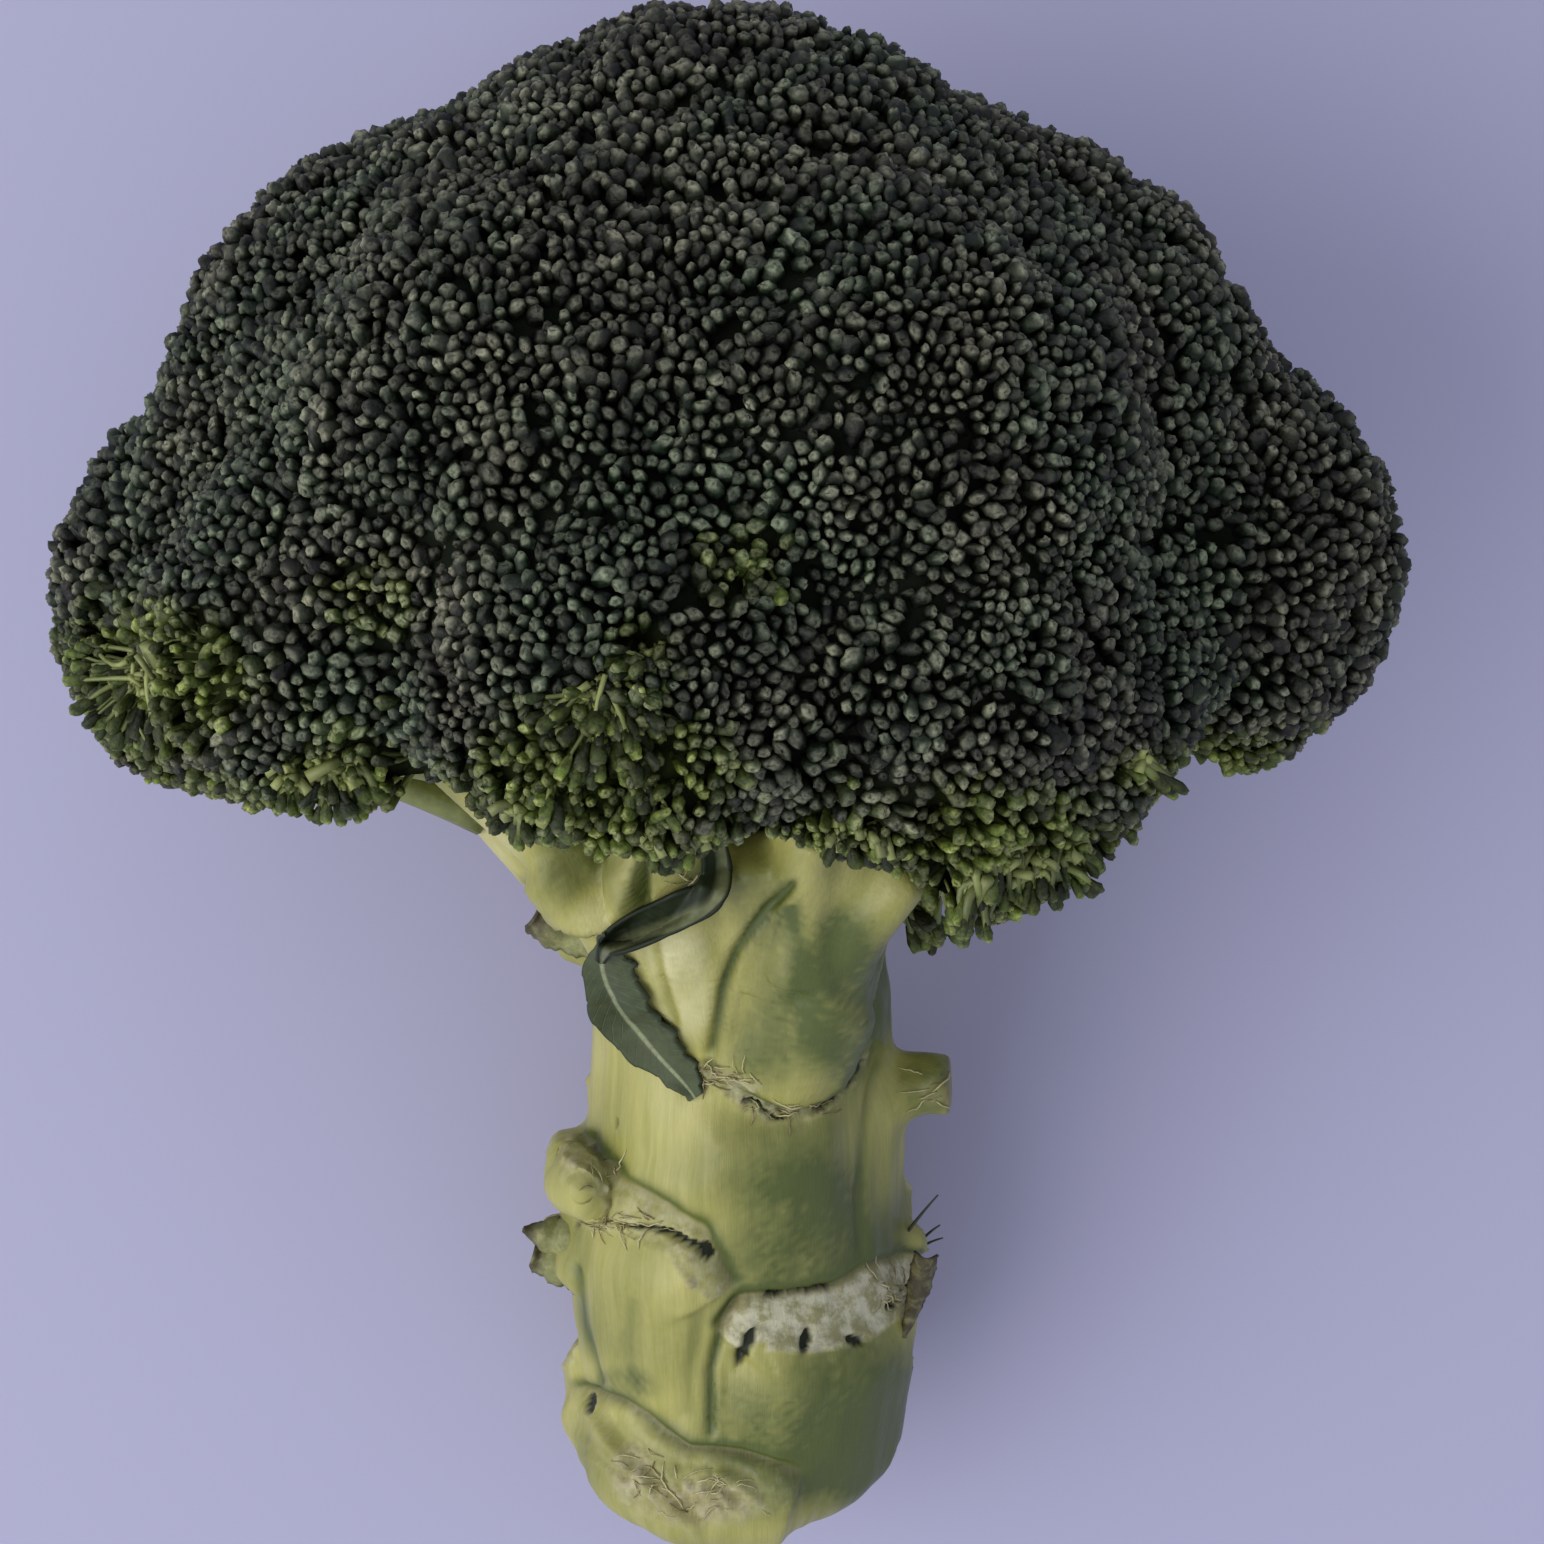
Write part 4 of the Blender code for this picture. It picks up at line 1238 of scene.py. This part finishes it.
def added_limbs():
    """The limbs that are grown into the stalk's skin, as tubes along smooth curves."""
    shares = np.linspace(0, 1, 13)
    paths = []
    radii = []
    for stations in ADDED_LIMBS:
        places = [(*at_pixel(u, v, height), radius) for u, v, height, radius in stations]
        table = smooth_path(places, shares)
        paths.append(table[:, :3])
        radii.append(table[:, 3])
    points, faces = tubes(np.array(paths), np.array(radii), 20)
    return mesh_of("added_limbs", points, faces)


def refined_stalk():
    """The stalk's skin with finer faces round its scars and creases."""
    mesh = remeshed("stalk", STALK_VOXEL, 7, added_limbs())
    points, normals = points_of(mesh), normals_of(mesh)
    near = np.zeros(len(points), bool)
    for below, across, seen, face, *_ in scars_at(points, normals):
        near |= (np.abs(across) < 1.2) & (below > -2 * MM) & (below < face + 2 * MM) & (seen > 0.5)
    pixels = pixels_of(points)
    for line, width, _, _ in CREASES:
        near |= (np.abs(beside_line(pixels, line)[0]) < 1.8 * width) & (normals[:, 2] > 0)
    bm = bmesh.new()
    bm.from_mesh(mesh)
    bm.verts.ensure_lookup_table()
    edges = [e for e in bm.edges if near[e.verts[0].index] and near[e.verts[1].index]]
    bmesh.ops.subdivide_edges(bm, edges=edges, cuts=1, use_grid_fill=True)
    bmesh.ops.triangulate(bm, faces=[f for f in bm.faces if len(f.verts) > 4])
    bm.to_mesh(mesh)
    bm.free()
    mesh.update()
    return mesh


class Relief:
    """Relief and paint of the stalk's skin at its points: how far it is lifted, and how much it
    is whitish scar face, brown edge, hole painted near black as shade, and painted green shade,
    which is negative for painted light."""

    def __init__(self, points, normals):
        self.points = points
        self.normals = normals
        self.pixels = pixels_of(points)
        self.front = eased(0.0, 0.2, normals[:, 2])
        self.ragged = (waves(points, 2.6 * MM, 21) * 0.42 + waves(points, 0.9 * MM, 24) * 0.10) * MM
        self.fine = waves(points, 0.8 * MM, 22) * 0.6 + waves(points, 1.7 * MM, 23) * 0.5
        self.lift, self.face, self.brown, self.shade = np.zeros((4, len(points)))
        self.add_scars()
        self.add_rough_places()
        self.add_holes()
        self.add_edges()
        self.add_creases()
        # Painted shade in the listed spots, and painted light where it is negative.
        self.shade += sum(self.shares_of(SHADES)) * (0.85 + 0.15 * self.fine)
        # Painted shade on the skin that faces to the right, away from the light.
        self.shade += RIGHT_SHADE * eased(0.1, 0.9, normals[:, 0])
        self.brown = np.clip(self.brown, 0, 1)

    def shares_of(self, spots):
        return spot_shares(self.points, self.normals, spots)

    def most_of(self, spots):
        return in_spots(self.points, self.normals, spots)

    def add_scars(self):
        bits = eased(0.25, 0.9, self.fine)
        on_stem = 1 - eased(-0.036, -0.028, to_stem(self.points)[:, 2])
        for below, across, seen, height, relief, torn, pale in scars_at(self.points, self.normals):
            side = (1 - eased(0.90, 1.0, np.abs(across))) * seen * on_stem
            edge = below + self.ragged * 0.5 * torn
            width = height * (1 - 0.55 * across**2)
            climb = eased(-0.1, 0.8, edge / width) * (1 - eased(width, width + SCAR_FALL, edge))
            valley = bell(np.minimum(edge, 0), 0.7 * MM) * (1 - eased(0, 0.35, edge / width))
            lip = bell(edge - width, 0.5 * MM)
            rim = bell(edge - 0.15 * MM, 0.32 * MM)
            on_face = eased(0, 0.5 * MM, edge)
            on_face *= 1 - eased(width - 0.3 * MM, width + 0.5 * MM, edge)
            self.lift += side * (climb * relief - valley * 0.6 * MM)
            self.lift += side * lip * (0.2 + 0.35 * torn * self.fine) * MM
            self.lift += side * on_face * (0.2 + torn) * self.fine * 0.14 * MM
            whitish = on_face * side * (pale + (1 - pale) * bits * torn)
            self.face = np.maximum(self.face, whitish)
            dried = lip * bits * torn * 0.8 + rim * 0.3 + on_face * bits * torn * 0.4
            self.brown = np.maximum(self.brown, side * dried)
            # Painted shade in the valley along the scar's upper edge.
            self.shade = np.maximum(self.shade, side * bell(edge + 0.5 * MM, 0.8 * MM) * 0.9)

    def add_rough_places(self):
        rough = self.most_of(ROUGH_SPOTS)
        self.lift += rough * self.fine * 0.32 * MM
        self.face = np.maximum(self.face, rough * (0.35 + 0.4 * eased(-0.2, 0.8, self.fine)))
        for *spot, height in SWELLINGS:
            self.lift += self.most_of([(*spot, 1.0)]) * height
        dried = self.most_of(BROWN_SPOTS) * (0.7 + 0.3 * self.fine)
        self.brown = np.maximum(self.brown, dried)

    def add_holes(self):
        gaps = np.zeros(len(self.points))
        moved = self.pixels + self.ragged[:, None] / MM * 2
        for across, down, half_width, half_height, lean in VEIN_SLOTS:
            aside, below = (moved - (across, down)).T
            away = np.hypot((aside - lean * below) / half_width, below / half_height)
            gaps = np.maximum(gaps, (1 - eased(0.5, 1.15, away)) * self.front)
        for line, half_width in POCKETS:
            away, across = beside_line(self.pixels, line)
            away = np.abs(away + self.ragged * 0.25) / half_width
            fade = (1 - eased(0.9, 1, np.abs(across))) * self.front
            gaps = np.maximum(gaps, (1 - eased(0.7, 2.0, away)) * fade)
        # Painted shade: the holes and gaps are painted near black.
        self.hole = eased(0.35, 0.75, gaps)
        self.lift -= gaps * 1.0 * MM

    def add_edges(self):
        for line, height, reach in EDGES:
            away, across = beside_line(self.pixels, line)
            above = -away
            rise = eased(-0.18 * MM, 0.28 * MM, above) * (1 - eased(0.25 * reach, reach, above))
            fade = self.front * (1 - eased(0.8, 1.0, np.abs(across)))
            self.lift += rise * fade * height
            self.lift -= bell(above + 0.5 * MM, 0.5 * MM) * fade * 0.45 * MM
            # Painted shade along the foot of the edge.
            self.shade = np.maximum(self.shade, bell(above + 0.3 * MM, 0.7 * MM) * fade * 0.9)

    def add_creases(self):
        for line, width, depth, green in CREASES:
            away, across = beside_line(self.pixels, line)
            fade = self.front * (1 - eased(0.82, 1.0, np.abs(across)))
            dent = bell(away, width) * fade
            self.lift -= dent * depth
            self.lift += bell(np.abs(away) - 2.2 * width, width) * fade * depth * 0.35
            # Painted shade in the crease.
            self.shade = np.maximum(self.shade, dent * green)


def grain_of(points):
    """Places for the skin's grain, which runs along the stem and fans out along the branches."""
    stem = to_stem(points) - (STALK_OFFSET, 0, 0)
    fork = np.array((0, 0, FORK_HEIGHT - FORK_REACH))
    from_fork = stem - fork
    distance = np.linalg.norm(from_fork, axis=1)
    reach = math.hypot(GRAIN_RADIUS, FORK_REACH)
    round_branches = from_fork[:, :2] / distance[:, None] * reach
    round_stem = unit(stem[:, :2]) * GRAIN_RADIUS
    branched = (stem[:, 2] > FORK_HEIGHT)[:, None]
    across = np.where(branched, round_branches, round_stem)
    along = np.where(branched[:, 0], distance - reach + FORK_HEIGHT, stem[:, 2])
    return np.column_stack([across, along * GRAIN_STRETCH])


def add_stalk(mesh, material):
    points = points_of(mesh)
    normals = normals_of(mesh)
    stem = to_stem(points)
    relief = Relief(points, normals)
    grain = grain_of(points)
    ribs = waves(grain, 5 * MM, 31) * 0.14 + waves(grain, 2 * MM, 32) * 0.04
    lift = relief.lift + ribs * MM * (1 - relief.face)
    points = inside_box(points + normals * lift[:, None])
    mesh.vertices.foreach_set("co", points.astype(np.float32).ravel())
    mesh.update()
    mesh.shade_smooth()
    cut = eased(0.72, 0.9, -turned_to_stem(normals)[:, 2]) * (stem[:, 2] < -0.105)
    # Painted shade, plus a little everywhere and a random variation of tone; less on the whitish
    # faces.
    shade = np.clip(relief.shade + 0.08 + 0.2 * waves(points, 16 * MM, 33), -1, 1)
    shade *= 1 - 0.8 * relief.face
    add_values(mesh, "scar", np.stack([relief.face, relief.brown, relief.hole, cut], axis=1))
    add_values(mesh, "grain", np.column_stack([grain, shade]))
    add_piece("stalk_skin", mesh, material, "stalk")


def add_fibres(stalk, material, dice):
    """Pale torn fibres that lie on the scars."""
    steps = 7
    paths = []
    for across, down, half_width, half_height, count in FIBRE_SPOTS:
        for _ in range(count):
            u = across + dice.uniform(-1, 1) * half_width
            v = down + dice.uniform(-1, 1) * half_height
            place, normal = under_pixel(stalk.tree, u, v)
            if place is None:
                continue
            heading = dice.normal(size=3) * (1.0, 0.30, 0.2)
            point = np.array(place)
            path = []
            stride = dice.uniform(0.20, 0.75) * MM
            for i in range(steps):
                near, out, _, _ = stalk.tree.find_nearest(Vector(point))
                out = np.array(out)
                lift = 0.05 * MM + 0.45 * MM * math.sin(math.pi * i / (steps - 1)) * dice.uniform(0, 1)
                path.append(np.array(near) + out * lift)
                heading = unit(heading - out * (heading @ out)) + dice.normal(size=3) * 0.13
                point = path[-1] + heading / np.linalg.norm(heading) * stride
            paths.append(path)
    paths = np.array(paths)
    thick = dice.uniform(0.05, 0.13, (len(paths), 1)) * MM
    radii = thick * np.array((0.6, 1, 1, 1, 0.9, 0.7, 0.4))
    tones = dice.uniform(0, 1, len(paths))
    add_tubes("scar_fibres", paths, radii, 5, "fibre", 1.0, tones, material, "stalk")


def fibre_material():
    paint = Shading("broccoli_torn_fibres")
    tone = paint.values("fibre")[1]
    grain = paint.noise(paint.place(), 1500, 3)
    color = paint.mix(paint.ramp(tone, 0.3, 1.0), (0.47, 0.43, 0.22), (0.20, 0.15, 0.06))
    color = paint.mix(1.0, color, paint.ramp(grain, 0.3, 0.7, 0.8, 1.15), "MULTIPLY")
    return paint.finish(Base_Color=color, Roughness=0.65, Normal=paint.bump(grain, 0.3, 0.0001))


def bristle_material():
    paint = Shading("broccoli_bristles")
    grain = paint.noise(paint.place(), 1500, 3)
    color = paint.mix(grain, (0.020, 0.026, 0.012), (0.060, 0.065, 0.030))
    return paint.finish(Base_Color=color, Roughness=0.6, Normal=paint.bump(grain, 0.3, 0.0001))


def flap_material():
    """Torn skin: green where it grows from the stalk, brown and dry at its edges and tip."""
    paint = Shading("broccoli_torn_skin")
    along, away, dryness, _ = paint.values("flap")
    place = paint.place()
    grain = paint.noise(place, 700, 4, 0.6)
    dry = paint.maths("MAXIMUM", paint.ramp(along, 0.5, 0.95), paint.ramp(away, 0.85, 1.0, 0.0, 0.7))
    dry = paint.maths("MAXIMUM", dry, dryness)
    dry = paint.maths("MULTIPLY", dry, paint.ramp(grain, 0.25, 0.6, 0.5, 1.0))
    color = paint.mix(paint.ramp(grain, 0.3, 0.7), (0.300, 0.300, 0.110), (0.190, 0.210, 0.070))
    color = paint.mix(dry, color, (0.052, 0.040, 0.018))
    return paint.finish(
        Base_Color=color,
        Roughness=paint.ramp(grain, 0.3, 0.7, 0.5, 0.75),
        Normal=paint.bump(grain, 0.6, 0.0005),
    )


def add_flaps(material):
    """Thin cupped flaps of torn skin with jagged edges, one on each stub that has them."""
    shares = np.linspace(0, 1, FLAP_STEPS + 1)
    across = np.linspace(-1, 1, FLAP_STRIPS + 1)
    row = FLAP_STRIPS + 1
    values = np.ones((len(FLAPS), FLAP_STEPS + 1, row, 4))
    values[..., 0] = shares[None, :, None]
    values[..., 1] = np.abs(across)
    points = []
    for number, (stations, dryness) in enumerate(FLAPS):
        values[number, ..., 2] = dryness
        places = [(*at_pixel(u, v, height), half) for u, v, height, half in stations]
        table = smooth_path(places, shares)
        along = unit(np.gradient(table[:, :3], axis=0))
        side = unit(np.cross(along, (0.0, 0.0, 1.0)))
        up = np.cross(side, along)
        teeth = 1 + 0.07 * np.sin(shares * 29 + number) + 0.06 * np.sin(shares * 71 + 2 * number)
        for i in range(FLAP_STEPS + 1):
            width = table[i, 3] * (teeth[i] * np.abs(across) ** 3 + 1 - np.abs(across) ** 3) * across
            cup = -0.9 * table[i, 3] * across**2 + 0.25 * MM * math.sin(shares[i] * 19 + number)
            points.append(table[i, :3] + side[i] * width[:, None] + up[i] * cup[:, None])
    faces = repeated(grid_faces(FLAP_STEPS, FLAP_STRIPS), len(FLAPS), (FLAP_STEPS + 1) * row)
    mesh = mesh_of("torn_flaps", inside_box(np.array(points).reshape(-1, 3)), faces)
    add_values(mesh, "flap", values.reshape(-1, 4))
    flaps = add_piece("torn_flaps", mesh, material, "stalk")
    solidify = flaps.modifiers.new("Thickness", "SOLIDIFY")
    solidify.thickness = FLAP_THICKNESS
    solidify.offset = 0


def add_bristles(stalk, material, dice):
    """Stiff dark bristles on the right side of the stalk."""
    shares = np.linspace(0, 1, 9)
    paths = []
    for u, v, tip_u, tip_v in BRISTLES:
        place, _ = under_pixel(stalk.tree, u - 10, v)
        if place is None:
            continue
        height = place.z - 4 * MM
        near = stalk.tree.find_nearest(Vector(at_pixel(u, v, height)))[0]
        start = np.array(near)
        tip = at_pixel(tip_u, tip_v, start[2] + 1.5 * MM)
        start = start - unit(tip - start) * 0.6 * MM
        bow = np.sin(shares * math.pi)[:, None] * np.array((0.2, 0.35, 0.1)) * MM
        paths.append(start + (tip - start) * shares[:, None] + bow)
    paths = np.array(paths)
    radii = np.tile(np.linspace(0.24, 0.10, len(shares)), (len(paths), 1)) * MM
    points, faces = tubes(paths, radii, 7)
    add_piece("bristles", mesh_of("bristles", points, faces), material, "stalk")


# Leaf


def smooth_path(stations, shares):
    """Points of the smooth curve through all the stations, 0 to 1 along it."""
    table = np.array(stations)
    last = len(table) - 1
    place = np.clip(shares, 0, 1) * last
    i = np.minimum(place.astype(int), last - 1)
    t = (place - i)[:, None]
    p0, p1, p2, p3 = (table[np.clip(i + k, 0, last)] for k in (-1, 0, 1, 2))
    slope = (p2 - p0) + (2 * p0 - 5 * p1 + 4 * p2 - p3) * t + (3 * p1 - 3 * p2 + p3 - p0) * t * t
    return p1 + slope * t / 2


def highest_place(trees, across, down, default):
    """The highest place that the camera sees at a pixel on any of the surfaces."""
    found = [under_pixel(tree, across, down)[0] for tree in trees]
    places = [np.array(place) for place in found if place is not None]
    return max(places, key=lambda place: place[2]) if places else default


def leaf_part(stations, trees, strap):
    """A grid of points for the leaf's stem or blade, laid over the surfaces below it, and the
    values that its material reads."""
    shares = np.linspace(0, 1, LEAF_STEPS + 1)
    table = smooth_path(stations, shares)
    middle = [at_pixel(*table[0, :2], CROWN_CENTRE[2])]
    for u, v in table[:, :2]:
        middle.append(highest_place(trees, u, v, middle[-1]))
    middle = evened(np.array(middle[1:]), 9)
    along = unit(np.gradient(middle, axis=0))
    side = unit(np.cross(along, (0.0, 0.0, 1.0)))
    across = np.linspace(-1, 1, LEAF_STRIPS + 1)
    tooth = ((shares * 11) % 1) * 0.55 * MM * (1 - strap) * (1 - eased(0.93, 1.0, shares))
    lobes = 0.22 * MM * np.sin(shares * 33) * (1 - strap)
    points = np.zeros((LEAF_STEPS + 1, LEAF_STRIPS + 1, 3))
    for j, place in enumerate(across):
        reach = table[:, 2] if place > 0 else table[:, 3]
        width = reach + (tooth if place < 0 else 0.3 * tooth) * abs(place) ** 4 + lobes * abs(place)
        column = middle + side * (width * place)[:, None]
        below = [highest_place(trees, u, v, (0, 0, 0))[2] for u, v in pixels_of(column)]
        height = np.maximum(below, middle[:, 2] - LEAF_DROOP * abs(place))
        cup = 0.75 * strap * MM * (place**2 - 0.4) + 0.30 * (1 - strap) * MM * abs(place)
        ripple = 0.26 * MM * np.sin(shares * 23 + 1.3 * place) * abs(place) ** 1.5 * (1 - strap)
        rib = 0.16 * MM * math.exp(-((place / 0.10) ** 2)) * (1 - strap)
        column[:, 2] = evened(height[:, None], 9)[:, 0] + cup + ripple + rib
        points[:, j] = column + (0, 0, LEAF_CLEARANCE + 0.35 * MM * strap)
    values = np.ones((*points.shape[:2], 4))
    values[:, :, 0] = (across + 1) / 2
    values[:, :, 1] = shares[:, None]
    values[:, :, 2] = strap
    return points.reshape(-1, 3), values.reshape(-1, 4)


def evened(rows, window):
    """The rows, each averaged with its neighbours."""
    half = window // 2
    padded = np.pad(rows, ((half, half), (0, 0)), mode="edge")
    return np.mean([padded[i : i + len(rows)] for i in range(window)], axis=0)


def grid_faces(steps, strips):
    """Quads of a grid of points that has one more row and column than these numbers."""
    row = strips + 1
    corner = (np.arange(steps)[:, None] * row + np.arange(strips)[None, :]).ravel()
    return np.stack([corner, corner + 1, corner + row + 1, corner + row], axis=1)


def add_leaf(material, stalk):
    """The small leaf: a channelled stem that curls over and a toothed blade at its end."""
    trees = (stalk.tree, Skin(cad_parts["leaf"].data).tree)
    parts = [leaf_part(LEAF_STEM, trees, 1.0), leaf_part(LEAF_BLADE, trees[:1], 0.0)]
    points = np.concatenate([part[0] for part in parts])
    faces = repeated(grid_faces(LEAF_STEPS, LEAF_STRIPS), len(parts), len(parts[0][0]))
    mesh = mesh_of("leaf_blade", points, faces)
    add_values(mesh, "leaf", np.concatenate([part[1] for part in parts]))
    leaf = add_piece("leaf_blade", mesh, material, "leaf")
    solidify = leaf.modifiers.new("Thickness", "SOLIDIFY")
    solidify.thickness = LEAF_THICKNESS
    solidify.offset = 0


# Studio


def add_floor():
    corners = np.array([(-1, -1, 0), (1, -1, 0), (1, 1, 0), (-1, 1, 0)]) * FLOOR_REACH
    mesh = mesh_of("floor", corners, np.array([(0, 1, 2, 3)]))
    floor = bpy.data.objects.new("floor", mesh)
    bpy.context.scene.collection.objects.link(floor)
    mesh.materials.append(floor_material())


def add_light(name, place, size, power, color):
    light = bpy.data.lights.new(name, "AREA")
    light.shape = "DISK"
    light.size = size
    light.energy = power
    light.color = color
    obj = bpy.data.objects.new(name, light)
    bpy.context.scene.collection.objects.link(obj)
    obj.location = place
    aim = Vector((0, 0, 0.03)) - Vector(place)
    obj.rotation_euler = aim.to_track_quat("-Z", "Y").to_euler()


def add_studio():
    scene = bpy.context.scene
    camera = bpy.data.objects.new("camera", bpy.data.cameras.new("camera"))
    scene.collection.objects.link(camera)
    camera.location = CAMERA_PLACE
    camera.data.lens = CAMERA_LENS
    camera.data.sensor_width = 36
    camera.data.clip_start = 0.01
    scene.camera = camera
    scene.view_settings.view_transform = "Standard"
    add_light("window", (-1.02, -0.38, 0.88), 1.6, 16.0, (1.0, 0.98, 0.94))
    world = bpy.data.worlds.new("soft_room")
    scene.world = world
    world.use_nodes = True
    background = world.node_tree.nodes["Background"]
    background.inputs["Color"].default_value = (0.84, 0.88, 1.0, 1.0)
    background.inputs["Strength"].default_value = 0.72
    add_floor()


def main():
    dice = np.random.default_rng(SEED)
    add_studio()
    crown = Crown(dice)
    stalk_mesh = refined_stalk()
    stalk_skin = Skin(stalk_mesh)
    stems = stem_material()
    add_buds(crown, bud_material(), dice)
    add_core(crown, core_material())
    add_bud_stems(crown, stems, dice)
    add_floret_stems(crown, stalk_skin, stems, dice)
    add_underside(crown, stems, dice)
    add_stalk(stalk_mesh, stalk_material())
    stalk_skin = Skin(stalk_mesh)
    add_fibres(stalk_skin, fibre_material(), dice)
    add_bristles(stalk_skin, bristle_material(), dice)
    add_flaps(flap_material())
    add_leaf(leaf_material(), stalk_skin)


main()
